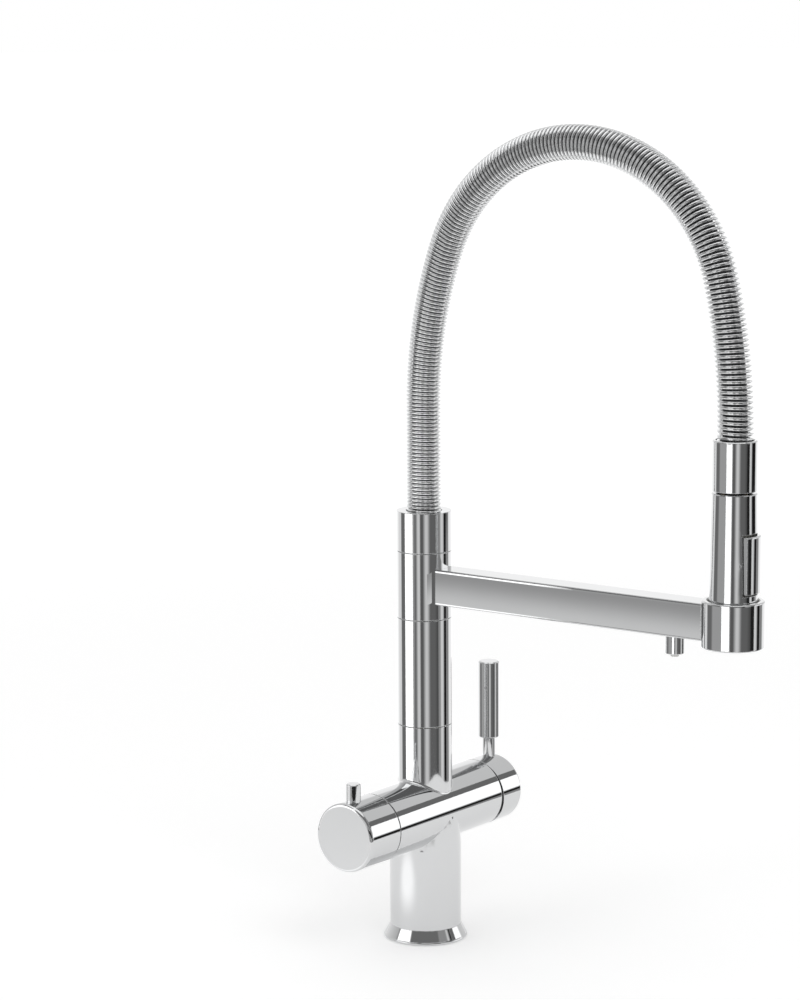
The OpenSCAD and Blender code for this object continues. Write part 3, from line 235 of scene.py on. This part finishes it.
class Shader:
    """A node tree that grows by named nodes."""

    def __init__(self, tree):
        self.tree = tree
        tree.nodes.clear()

    def add(self, kind, settings=None, inputs=None, output=0):
        """One node: its settings first, then the values or links of its sockets."""
        node = self.tree.nodes.new(kind)
        for name, value in (settings or {}).items():
            if name == "stops":
                self.set_stops(node.color_ramp, value)
            else:
                setattr(node, name, value)
        for name, value in (inputs or {}).items():
            socket = node.inputs[name]
            if isinstance(value, Wire):
                self.tree.links.new(value.socket, socket)
            else:
                socket.default_value = (*value, 1) if socket.type == "RGBA" and len(value) == 3 else value
        return Wire(self, node.outputs[output]) if node.outputs else node

    @staticmethod
    def set_stops(ramp, stops):
        while len(ramp.elements) > 1:
            ramp.elements.remove(ramp.elements[-1])
        for n, (place, level) in enumerate(stops):
            stop = ramp.elements[0] if n == 0 else ramp.elements.new(place)
            stop.position = place
            stop.color = (level, level, level, 1)

    def place(self):
        return self.add("ShaderNodeTexCoord", output="Object")

    def noise(self, scale, detail=2.0, stretch=None):
        where = self.place()
        if stretch:
            where = self.add("ShaderNodeVectorMath", {"operation": "MULTIPLY"}, {0: where, 1: stretch})
        return self.add("ShaderNodeTexNoise", {}, {"Vector": where, "Scale": scale, "Detail": detail})

    def mix(self, share, first, second):
        colours = {n: c if isinstance(c, Wire) else (*c, 1) for n, c in (("A", first), ("B", second))}
        node = self.tree.nodes.new("ShaderNodeMix")
        node.data_type = "RGBA"
        for socket in node.inputs:
            value = {"Factor_Float": share, "A_Color": colours["A"], "B_Color": colours["B"]}.get(socket.identifier)
            if isinstance(value, Wire):
                self.tree.links.new(value.socket, socket)
            elif value is not None:
                socket.default_value = value
        return Wire(self, next(s for s in node.outputs if s.identifier == "Result_Color"))

    def bump(self, height, strength, distance, normal=None):
        inputs = {"Height": height, "Strength": strength, "Distance": distance}
        if normal:
            inputs["Normal"] = normal
        return self.add("ShaderNodeBump", {}, inputs)

    def surface(self, **inputs):
        values = {name.replace("_", " "): value for name, value in inputs.items()}
        shade = self.add("ShaderNodeBsdfPrincipled", {}, values)
        self.add("ShaderNodeOutputMaterial", {}, {"Surface": shade})


def material(name):
    made = bpy.data.materials.new(name)
    made.use_nodes = True
    return made, Shader(made.node_tree)


def shaded(colour, factor):
    return tuple(c * factor for c in colour)


def dress(nodes, made):
    """Puts one material on CAD nodes."""
    for name in nodes:
        thing = frame["nodes"][name]
        thing.data.materials.clear()
        thing.data.materials.append(made)


# Finishes


def polished_metal(name, colour, gloss, swell):
    """Plated metal: a faint swell from polishing, hairlines and tiny changes of gloss."""
    made, s = material(name)
    haze = s.noise(38.0, 3.0)
    hair = s.noise(900.0, 2.0, (1.0, 1.0, 0.15))
    edge = s.add("ShaderNodeBevel", {"samples": 4}, {"Radius": 0.0006})
    s.surface(
        Base_Color=s.mix(haze.step(0.3, 0.75), shaded(colour, 0.985), colour),
        Metallic=1.0,
        Roughness=hair * gloss * 0.5 + haze * gloss * 0.6 + gloss * 0.4,
        Normal=s.bump(s.noise(24.0, 1.0), 0.12, swell, edge),
    )
    return made


# Middle height of the open seam under the ferrule, where painted shade darkens the brass, and half the width of that
# painted shade.
HEAD_SEAM = 0.3134
SEAM_SHADE_REACH = 0.0012


def brass_finish(colour):
    made, s = material("turned_brass")
    rings = s.noise(300.0, 2.0, (1.0, 1.0, 8.0))
    above = s.add("ShaderNodeSeparateXYZ", {}, {0: s.place()}, output=2) - HEAD_SEAM
    painted_seam_shade = above.maths("LESS_THAN", above.maths("ABSOLUTE", above), SEAM_SHADE_REACH)
    s.surface(
        # Near black inside the seam band: painted shade for the dark gap under the ferrule; elsewhere the tone of the
        # turned rings.
        Base_Color=s.mix(painted_seam_shade, s.mix(rings, shaded(colour, 0.82), colour), (0.012, 0.011, 0.01)),
        Metallic=1.0,
        Roughness=rings * 0.18 + 0.2,
        Normal=s.bump(rings, 0.2, 0.0001),
    )
    return made


def steel_finish(colour):
    made, s = material("turned_steel")
    lines = s.noise(500.0, 3.0, (0.2, 1.0, 4.0))
    s.surface(
        Base_Color=s.mix(lines, shaded(colour, 0.8), colour),
        Metallic=1.0,
        Roughness=lines * 0.2 + 0.22,
        Normal=s.bump(lines, 0.15, 0.00008),
    )
    return made


def moulded_plastic(name, colour, gloss):
    made, s = material(name)
    cloud = s.noise(45.0, 3.0)
    skin = s.noise(1400.0, 2.0)
    s.surface(
        Base_Color=s.mix(cloud.step(0.3, 0.7), shaded(colour, 0.88), colour),
        Roughness=skin * 0.15 + gloss,
        Normal=s.bump(skin, 0.15, 0.00006),
    )
    return made


def rubber_finish(name, colour):
    made, s = material(name)
    skin = s.noise(2200.0, 3.0)
    bloom = s.noise(60.0, 3.0)
    s.surface(
        Base_Color=s.mix(bloom.step(0.35, 0.8), colour, tuple(c + 0.02 for c in colour)),
        Roughness=bloom * 0.2 + 0.55,
        Normal=s.bump(skin, 0.3, 0.0001),
    )
    return made


def ceramic_finish(colour):
    made, s = material("lapped_ceramic")
    speck = s.noise(1200.0, 3.0)
    s.surface(
        Base_Color=s.mix(speck.step(0.4, 0.7), shaded(colour, 0.93), colour),
        Roughness=speck * 0.1 + 0.12,
        Normal=s.bump(speck, 0.05, 0.00003),
    )
    return made


# Strands of the braid for each round of the hose, in either direction.
BRAID = 12.0


def braided_hose_finish(colour):
    """Grey hose with a fine crossed braid, laid out on the hose's own map."""
    made, s = material("braided_hose")
    across = s.add("ShaderNodeSeparateXYZ", {}, {0: s.add("ShaderNodeTexCoord", output="UV")})
    along = Wire(s, across.socket.node.outputs[1])
    one = ((across * BRAID + along * BRAID) * 2 * math.pi).wave()
    two = ((across * BRAID - along * BRAID) * 2 * math.pi).wave()
    strand = (one * two) * 0.5 + 0.5
    s.surface(
        Base_Color=s.mix(strand.step(0.2, 0.8), shaded(colour, 0.4), shaded(colour, 1.6)),
        Metallic=0.0,
        Roughness=0.55 - strand * 0.2,
        Normal=s.bump(strand, 0.5, 0.0004),
    )
    return made


# Spring neck


def neck_route(neck):
    """Two functions: length along the neck to (point, heading), and the length between two end heights."""
    r1, a1, r2, a2 = neck.rise_radius, neck.rise_angle, neck.fall_radius, neck.fall_angle
    crown = (REACH - r1 * (1 - math.cos(a1)) - r2 * (1 - math.cos(a2))) / (math.cos(a1) + math.cos(a2))
    fall_end = FERRULE_TOP + neck.fall_straight
    top = fall_end + r2 * math.sin(a2) + crown * (1 - math.sin(a2))
    rise = top - crown * (1 - math.sin(a1)) - r1 * math.sin(a1)
    lengths = (r1 * a1, crown * (math.pi - a1 - a2), r2 * a2)

    def at(s, z0):
        s -= rise - z0
        if s < 0:
            return Vector((0, 0, rise + s)), 0.0
        if s < lengths[0]:
            a = s / r1
            return Vector((0, -r1 * (1 - math.cos(a)), rise + r1 * math.sin(a))), a
        s -= lengths[0]
        y, z = -r1 * (1 - math.cos(a1)), rise + r1 * math.sin(a1)
        if s < lengths[1]:
            a = a1 + s / crown
            run, lift = math.cos(a1) - math.cos(a), math.sin(a) - math.sin(a1)
            return Vector((0, y - crown * run, z + crown * lift)), a
        s -= lengths[1]
        b = math.pi - a2
        y -= crown * (math.cos(a1) - math.cos(b))
        z += crown * (math.sin(b) - math.sin(a1))
        if s < lengths[2]:
            a = b + s / r2
            return Vector((0, y - r2 * (math.cos(b) - math.cos(a)), z + r2 * (math.sin(a) - math.sin(b)))), a
        return Vector((0, -REACH, fall_end - (s - lengths[2]))), math.pi

    def span(z0, z1):
        return rise - z0 + sum(lengths) + fall_end - z1

    return at, span


def tube_mesh(name, rings, closed_ends=True):
    """A smooth tube through rings of points."""
    sides = len(rings[0])
    points = [p for ring in rings for p in ring]
    faces = []
    for k in range(len(rings) - 1):
        for j in range(sides):
            a, b = k * sides + j, k * sides + (j + 1) % sides
            faces.append((a, b, b + sides, a + sides))
    if closed_ends:
        last = (len(rings) - 1) * sides
        faces.append(tuple(range(sides))[::-1])
        faces.append(tuple(range(last, last + sides)))
    mesh = bpy.data.meshes.new(name)
    mesh.from_pydata(points, [], faces)
    mesh.validate()
    mesh.update()
    mesh.shade_smooth()
    thing = bpy.data.objects.new(name, mesh)
    bpy.context.scene.collection.objects.link(thing)
    return thing


def follow_lift(piece):
    """Bakes a neck piece's placement into its mesh."""
    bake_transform(piece)


class TAP_OT_spring(bpy.types.Operator):
    """Winds the round wire of the neck's spring along its route"""

    bl_idname = "tap.spring"
    bl_label = "Wind Spring"

    def execute(self, context):
        neck = context.scene.tap_neck
        at, span = neck_route(neck)
        wire = neck.wire / 2
        coil = neck.spring_diameter / 2 - wire
        z0 = SPRING_START + wire
        length = span(z0, FERRULE_TOP - neck.spring_end)
        per_turn, sides = 22, 8
        count = neck.turns * per_turn
        more = 1 + neck.stretch
        rings = []
        for k in range(count + 1):
            along = (more - math.sqrt(more * more - 4 * neck.stretch * k / count)) / (2 * neck.stretch)
            lead = length / neck.turns / (more - 2 * neck.stretch * along) / (2 * math.pi * coil)
            centre, h = at(length * along, z0)
            w = 2 * math.pi * k / per_turn
            side = Vector((1, 0, 0))
            inward = Vector((0, math.cos(h), math.sin(h)))
            ahead = Vector((0, -math.sin(h), math.cos(h)))
            out = side * math.sin(w) + inward * math.cos(w)
            run = (side * math.cos(w) - inward * math.sin(w) + ahead * lead).normalized()
            up = run.cross(out)
            rings.append([centre + out * coil + (out * math.cos(t) + up * math.sin(t)) * wire
                          for t in (2 * math.pi * j / sides for j in range(sides))])
        spring = tube_mesh("spring_wire", rings)
        colour = tuple(context.scene.tap_finish.wire)
        spring.data.materials.append(polished_metal("plated_wire", colour, 0.05, 0.00002))
        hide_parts("neck_spring")
        follow_lift(spring)
        return {"FINISHED"}


class TAP_OT_hose(bpy.types.Operator):
    """Lays the braided water hose inside the spring"""

    bl_idname = "tap.hose"
    bl_label = "Lay Hose"

    def execute(self, context):
        neck = context.scene.tap_neck
        at, span = neck_route(neck)
        length = span(HOSE_START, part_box("hose_ferrule")[1][2] - neck.spring_end)
        outer, inner, sides, count = neck.hose_diameter / 2, neck.hose_bore / 2, 32, 150
        rings = []
        for radius, order in ((outer, range(count + 1)), (inner, range(count, -1, -1))):
            for k in order:
                centre, h = at(length * k / count, HOSE_START)
                side, inward = Vector((1, 0, 0)), Vector((0, math.cos(h), math.sin(h)))
                rings.append([centre + (side * math.sin(t) + inward * math.cos(t)) * radius
                              for t in (2 * math.pi * j / sides for j in range(sides))])
        rings.append([p.copy() for p in rings[0]])
        hose = tube_mesh("water_hose", rings, closed_ends=False)
        chart = hose.data.uv_layers.new(name="UVMap")
        for face in hose.data.polygons:
            ring, j = divmod(min(face.index, (len(rings) - 1) * sides - 1), sides)
            corners = ((j, ring), (j + 1, ring), (j + 1, ring + 1), (j, ring + 1))
            for corner, (u, v) in zip(face.loop_indices, corners):
                chart.data[corner].uv = (u / sides, v / count * length / (2 * math.pi * outer))
        hose.data.materials.append(braided_hose_finish(tuple(context.scene.tap_finish.hose)))
        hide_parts("neck_hose")
        follow_lift(hose)
        return {"FINISHED"}


# Finish operators


class TAP_OT_chrome(bpy.types.Operator):
    """Gives the body, column, arm, knobs and levers their polished chrome"""

    bl_idname = "tap.chrome"
    bl_label = "Chrome Plate"

    def execute(self, context):
        f = context.scene.tap_finish
        chrome, gloss = tuple(f.chrome), f.chrome_gloss
        dress(finish_nodes("polished_chrome"), polished_metal("polished_chrome", chrome, gloss, 0.00004))
        dress(finish_nodes("plated_plastic"), polished_metal("plated_plastic", chrome, gloss * 1.3, 0.00006))
        return {"FINISHED"}


class TAP_OT_metals(bpy.types.Operator):
    """Gives the inner metal pieces their turned brass and steel"""

    bl_idname = "tap.metals"
    bl_label = "Turned Metals"

    def execute(self, context):
        f = context.scene.tap_finish
        dress(finish_nodes("turned_brass"), brass_finish(tuple(f.brass)))
        dress(finish_nodes("stainless_steel"), steel_finish(tuple(f.steel)))
        return {"FINISHED"}


class TAP_OT_plastics(bpy.types.Operator):
    """Gives the moulded pieces, seals and discs their finishes"""

    bl_idname = "tap.plastics"
    bl_label = "Plastics and Seals"

    def execute(self, context):
        f = context.scene.tap_finish
        # The black plastic on the dome under the mixer knob is painted shade for the dark gap there.
        dress(finish_nodes("black_plastic"), moulded_plastic("black_plastic", tuple(f.black_plastic), 0.28))
        # The white on the dock sleeve is a painted highlight for the bright rim of the dock.
        dress(finish_nodes("white_plastic"), moulded_plastic("white_plastic", tuple(f.white_plastic), 0.35))
        dress(finish_nodes("valve_plastic"), moulded_plastic("valve_plastic", tuple(f.valve_plastic), 0.4))
        dress(finish_nodes("black_rubber"), rubber_finish("black_rubber", tuple(f.rubber)))
        dress(finish_nodes("grey_rubber"), rubber_finish("jet_silicone", tuple(f.grey_rubber)))
        dress(finish_nodes("ceramic"), ceramic_finish(tuple(f.ceramic)))
        return {"FINISHED"}


# The stage

# Brightness of the studio by heading, from -180 to 180 degrees, as polished metal shows it:
# WALLS below eye level, CEILING above it, and SLOPE halfway up.
WALLS = [
    (-180, 0.19), (-174, 0.5), (-171, 0.8), (-163, 0.8), (-159, 0.14), (-149, 0.14), (-137, 0.8), (-130, 0.75),
    (-122, 0.3), (-118, 0.16), (-98, 0.16), (-84, 0.085), (-80, 0.36), (-73, 0.36), (-68, 0.85), (-59, 0.85),
    (-53, 0.35), (-51, 0.01), (-39.5, 0.01), (-38, 0.32), (-24, 0.3), (-17, 1.13), (40, 1.3), (77, 1.2),
    (82, 0.97), (101, 0.97), (106, 0.19), (125, 0.19), (132, 0.45), (171, 0.45), (176, 0.2), (180, 0.19),
]
CEILING = [
    (-180, 0.75), (-165, 0.9), (-160, 0.2), (-118, 0.2), (-112, 0.03), (-104, 0.03), (-100, 0.6), (-70, 0.3),
    (-58, 1.6), (-28, 1.6), (-22, 0.75), (10, 0.85), (22, 1.15), (60, 1.05), (100, 0.75), (120, 0.6),
    (127, 0.2), (158, 0.2), (165, 0.42), (172, 0.9), (180, 0.75),
]
SLOPE = [
    (-180, 0.2), (-104, 0.2), (-100, 0.36), (-78, 0.36), (-72, 0.9), (-65, 0.01), (-48, 0.01), (-38, 0.75),
    (120, 0.75), (128, 0.15), (158, 0.15), (161, 1.3), (166, 1.3), (169, 0.2), (180, 0.2),
]

# How high a reflected ray points where one band fades into the next, as its lowest and highest slope:
# the dark line, eye level, the SLOPE band and the light overhead.
LINE_EDGE = (-0.175, -0.15)
EYE_EDGE = (-0.1, -0.04)
SLOPE_EDGE = (0.35, 0.45)
OVERHEAD_EDGE = (0.84, 0.9)
OVERHEAD = 1.3

# A dark line just under eye level: the middle of its headings and half their range, as shares of a whole turn.
LINE_HEADING = 0.397
LINE_SPREAD = 0.033
LINE_DARK = 0.01

# Share of its reach at which a strip starts to fade.
FADE_START = 0.93

# Upright strips around the tap that only its reflections see. Each has a name, the point it stands off from,
# its heading and distance from there, its width, its lowest and highest edge, its brightness at the lowest edge,
# at the highest edge and, where it fades sideways, at the two sides, and the length of reflected ray at which
# it has faded away.
CARDS = [
    ("column_card", (0.0, 0.0), 149, 0.274, 0.185, 0.038, 0.262, 1.9, 1.9, None, 0.340),
    ("knob_card", (-0.0861, 0.0), 144, 0.100, 0.090, 0.002, 0.100, 1.05, 0.95, 1.0, 0.140),
    ("pin_flag", (-0.0761, 0.0), -138.0, 0.080, 0.088, 0.087, 0.101, 0.01, 0.01, None, 0.102),
    ("arm_card", (-0.0090, -0.1100), 180, 0.004, 0.200, 0.2225, 0.2422, 0.78, 0.40, None, 0.0065),
    ("arm_back_card", (0.0090, -0.1100), 0, 0.004, 0.200, 0.2225, 0.2422, 0.45, 0.8, None, 0.0090),
    ("head_card", (0.0, -0.229), 183.2, 0.2536, 0.122, 0.150, 0.309, 1.9, 1.9, None, 0.280),
    ("head_flag", (0.0, -0.229), -77.9, 0.2567, 0.069, 0.150, 0.309, 0.01, 0.01, None, 0.300),
    ("upper_flag", (0.0, 0.0), -42, 2.5, 1.6, 0.98, 1.50, 0.18, 0.18, None, 9.0),
]

# The table's edge, and how far it bulges towards one heading. A higher power makes the bulge narrower.
TABLE_RADIUS = 0.42
TABLE_BULGE = 0.037
BULGE_HEADING = math.radians(-95)
BULGE_POWER = 6
RIM_POINTS = 96
# The floor beyond the table, and where it turns from the table's own shade to white.
FLOOR_RADIUS = 40.0
WHITE_START = 0.7
WHITE_END = 2.2
# Glow of the table and the floor near it, as a share of white.
TABLE_GLOW = 0.22
# A pool of painted light on the table, on the left of the body, that only reflections see.
POOL = (-0.16, 0.06, 0)
POOL_RADIUS = 0.1
POOL_CORE = 0.03
POOL_GLOW = 0.6

# The point that the lamps face.
LAMP_TARGET = Vector((0, -0.1, 0.25))


def studio_world(scene, sky):
    """White to the camera, pale walls with dark gaps to reflections, plain grey light for the rest."""
    world = bpy.data.worlds.new("studio")
    world.use_nodes = True
    scene.world = world
    s = Shader(world.node_tree)
    ray = s.add("ShaderNodeLightPath", output="Is Camera Ray")
    shine = Wire(s, ray.socket.node.outputs["Is Glossy Ray"])
    way = s.add("ShaderNodeSeparateXYZ", {}, {0: s.add("ShaderNodeTexCoord", output="Generated")})
    y, z = (Wire(s, way.socket.node.outputs[n]) for n in (1, 2))
    turn = s.add("ShaderNodeMath", {"operation": "ARCTAN2"}, {0: y, 1: way}) / (2 * math.pi) + 0.5
    low, high, slope = (
        s.add("ShaderNodeValToRGB", {"stops": [((heading + 180) / 360, level) for heading, level in band]}, {0: turn})
        for band in (WALLS, CEILING, SLOPE)
    )
    line = z.step(*LINE_EDGE) * turn.maths("COMPARE", turn, LINE_HEADING, LINE_SPREAD)
    low = s.mix(line, low, (LINE_DARK,) * 3)
    high = s.mix(z.step(*SLOPE_EDGE), high, slope)
    high = s.mix(z.step(*OVERHEAD_EDGE), high, (OVERHEAD,) * 3)
    pattern = s.mix(z.step(*EYE_EDGE), low, high)
    light = s.mix(shine, (sky, sky, sky), pattern)
    backing = s.add("ShaderNodeBackground", {}, {"Color": s.mix(ray, light, (1, 1, 1)), "Strength": 1.0})
    s.add("ShaderNodeOutputWorld", {}, {"Surface": backing})


class TAP_OT_studio(bpy.types.Operator):
    """Sets the pale floor, the soft lamps, the strips, the world and the camera"""

    bl_idname = "tap.studio"
    bl_label = "Studio"

    def execute(self, context):
        scene = context.scene
        studio = scene.tap_studio
        scene.view_settings.view_transform = "Standard"
        studio_world(scene, studio.sky)
        self.floor(scene, tuple(studio.floor))
        for card in CARDS:
            self.card(scene, *card)
        self.lamp(scene, "key_lamp", (-1.2, -2.2, 2.6), 1.6, studio.key_power)
        self.lamp(scene, "fill_lamp", (-2.6, 0.9, 1.6), 1.4, studio.fill_power)
        self.camera(scene, studio)
        return {"FINISHED"}

    @staticmethod
    def floor(scene, colour):
        """A table top that the metal reflects, and a floor beyond it that its reflections do not show."""
        made, s = material("pale_floor")
        place = s.place()
        far = s.add("ShaderNodeVectorMath", {"operation": "LENGTH"}, {0: place}, output="Value")
        far = far.step(WHITE_START, WHITE_END)
        ray = s.add("ShaderNodeLightPath", output="Is Camera Ray")
        seen = Wire(s, ray.socket.node.outputs["Is Glossy Ray"]) + ray
        glow = s.mix((far * (1 - TABLE_GLOW) + TABLE_GLOW) * seen.clamp(), (0, 0, 0), (1, 1, 1))
        pool = s.add("ShaderNodeVectorMath", {"operation": "DISTANCE"}, {0: place, 1: POOL}, output="Value")
        pool = pool.step(POOL_RADIUS, POOL_CORE)
        tone = s.mix(s.noise(3.0, 2.0), shaded(colour, 0.995), colour)
        s.surface(
            Base_Color=s.mix(far * seen.clamp(), tone, (0, 0, 0)),
            Roughness=0.9,
            Emission_Color=s.mix(pool * (seen - ray), glow, (POOL_GLOW,) * 3),
            Emission_Strength=1.0,
        )
        count = RIM_POINTS
        around = [math.tau * n / count for n in range(count)]
        table = [TABLE_RADIUS + TABLE_BULGE * max(0, math.cos(a - BULGE_HEADING)) ** BULGE_POWER for a in around]
        for name, near, wide in (("studio_table", None, table), ("studio_floor", table, [FLOOR_RADIUS] * count)):
            rims = (wide, near) if near else (wide,)
            points = [(r * math.cos(a), r * math.sin(a), 0) for rim in rims for r, a in zip(rim, around)]
            if near:
                faces = [(n, (n + 1) % count, count + (n + 1) % count, count + n) for n in range(count)]
            else:
                faces = [tuple(range(count))]
            mesh = bpy.data.meshes.new(name)
            mesh.from_pydata(points, [], faces)
            mesh.materials.append(made)
            floor = bpy.data.objects.new(name, mesh)
            floor.visible_glossy = not near
            scene.collection.objects.link(floor)

    @staticmethod
    def card(scene, name, middle, heading, distance, width, low, high, foot_glow, head_glow, side_glow, reach):
        """One of the upright strips."""
        made, s = material(name)
        way = Vector((math.cos(math.radians(heading)), math.sin(math.radians(heading)), 0))
        foot = Vector((*middle, 0)) + way * distance
        side = Vector((-way.y, way.x, 0))
        height = s.add("ShaderNodeSeparateXYZ", {}, {0: s.place()}, output=2)
        along = {0: s.place(), 1: tuple(side)}
        across = s.add("ShaderNodeVectorMath", {"operation": "DOT_PRODUCT"}, along, output="Value") - foot.dot(side)
        tone = s.mix(height.step(low, high), (foot_glow,) * 3, (head_glow,) * 3)
        if side_glow is not None:
            tone = s.mix(across.maths("ABSOLUTE", across).step(0, width / 2), tone, (side_glow,) * 3)
        ray = s.add("ShaderNodeLightPath", output="Ray Length")
        s.surface(
            Base_Color=(0, 0, 0),
            Roughness=1.0,
            Emission_Color=tone,
            Emission_Strength=1.0,
            Alpha=ray.step(reach, reach * FADE_START),
        )
        mesh = bpy.data.meshes.new(name)
        corners = ((-1, low), (1, low), (1, high), (-1, high))
        mesh.from_pydata([foot + side * t * width / 2 + Vector((0, 0, z)) for t, z in corners], [], [(0, 1, 2, 3)])
        mesh.materials.append(made)
        card = bpy.data.objects.new(name, mesh)
        card.visible_camera = card.visible_diffuse = card.visible_shadow = False
        scene.collection.objects.link(card)

    @staticmethod
    def lamp(scene, name, place, size, power):
        light = bpy.data.lights.new(name, "AREA")
        light.shape = "DISK"
        light.size = size
        light.energy = power
        lamp = bpy.data.objects.new(name, light)
        lamp.location = place
        lamp.rotation_euler = (LAMP_TARGET - Vector(place)).to_track_quat("-Z", "Y").to_euler()
        lamp.visible_glossy = False
        scene.collection.objects.link(lamp)

    @staticmethod
    def camera(scene, studio):
        yaw, pitch, roll = studio.camera_yaw, studio.camera_pitch, studio.camera_roll
        ahead = Vector((math.sin(yaw) * math.cos(pitch), -math.cos(yaw) * math.cos(pitch), -math.sin(pitch)))
        right = ahead.cross(Vector((0, 0, 1))).normalized()
        up = right.cross(ahead)
        right, up = right * math.cos(roll) + up * math.sin(roll), up * math.cos(roll) - right * math.sin(roll)
        data = bpy.data.cameras.new("camera")
        data.sensor_fit = "VERTICAL"
        data.sensor_height = 36.0
        data.lens = studio.lens
        data.clip_end = 100.0
        camera = bpy.data.objects.new("camera", data)
        turned = Matrix((right, up, -ahead)).transposed().to_4x4()
        camera.matrix_world = Matrix.Translation(studio.camera_place) @ turned
        scene.collection.objects.link(camera)
        scene.camera = camera


class TAP_PT_panel(bpy.types.Panel):
    """The tap's settings and steps"""

    bl_label = "Spring Neck Tap"
    bl_idname = "TAP_PT_panel"
    bl_space_type = "VIEW_3D"
    bl_region_type = "UI"
    bl_category = "Tap"

    def draw(self, context):
        for group in ("tap_neck", "tap_finish", "tap_studio"):
            settings = getattr(context.scene, group)
            box = self.layout.box()
            for name in settings.bl_rna.properties.keys():
                if name not in ("rna_type", "name"):
                    box.prop(settings, name)
        for step in STEPS:
            self.layout.operator(step.bl_idname)


STEPS = (TAP_OT_chrome, TAP_OT_metals, TAP_OT_plastics, TAP_OT_hose, TAP_OT_spring, TAP_OT_studio)
CLASSES = (NeckSettings, FinishSettings, StudioSettings, *STEPS, TAP_PT_panel)


def register():
    for cls in CLASSES:
        bpy.utils.register_class(cls)
    bpy.types.Scene.tap_neck = PointerProperty(type=NeckSettings)
    bpy.types.Scene.tap_finish = PointerProperty(type=FinishSettings)
    bpy.types.Scene.tap_studio = PointerProperty(type=StudioSettings)


def unregister():
    for name in ("tap_neck", "tap_finish", "tap_studio"):
        delattr(bpy.types.Scene, name)
    for cls in reversed(CLASSES):
        bpy.utils.unregister_class(cls)


def main():
    register()
    for step in STEPS:
        getattr(bpy.ops.tap, step.bl_idname.split(".")[1])()


if __name__ == "__main__":
    main()
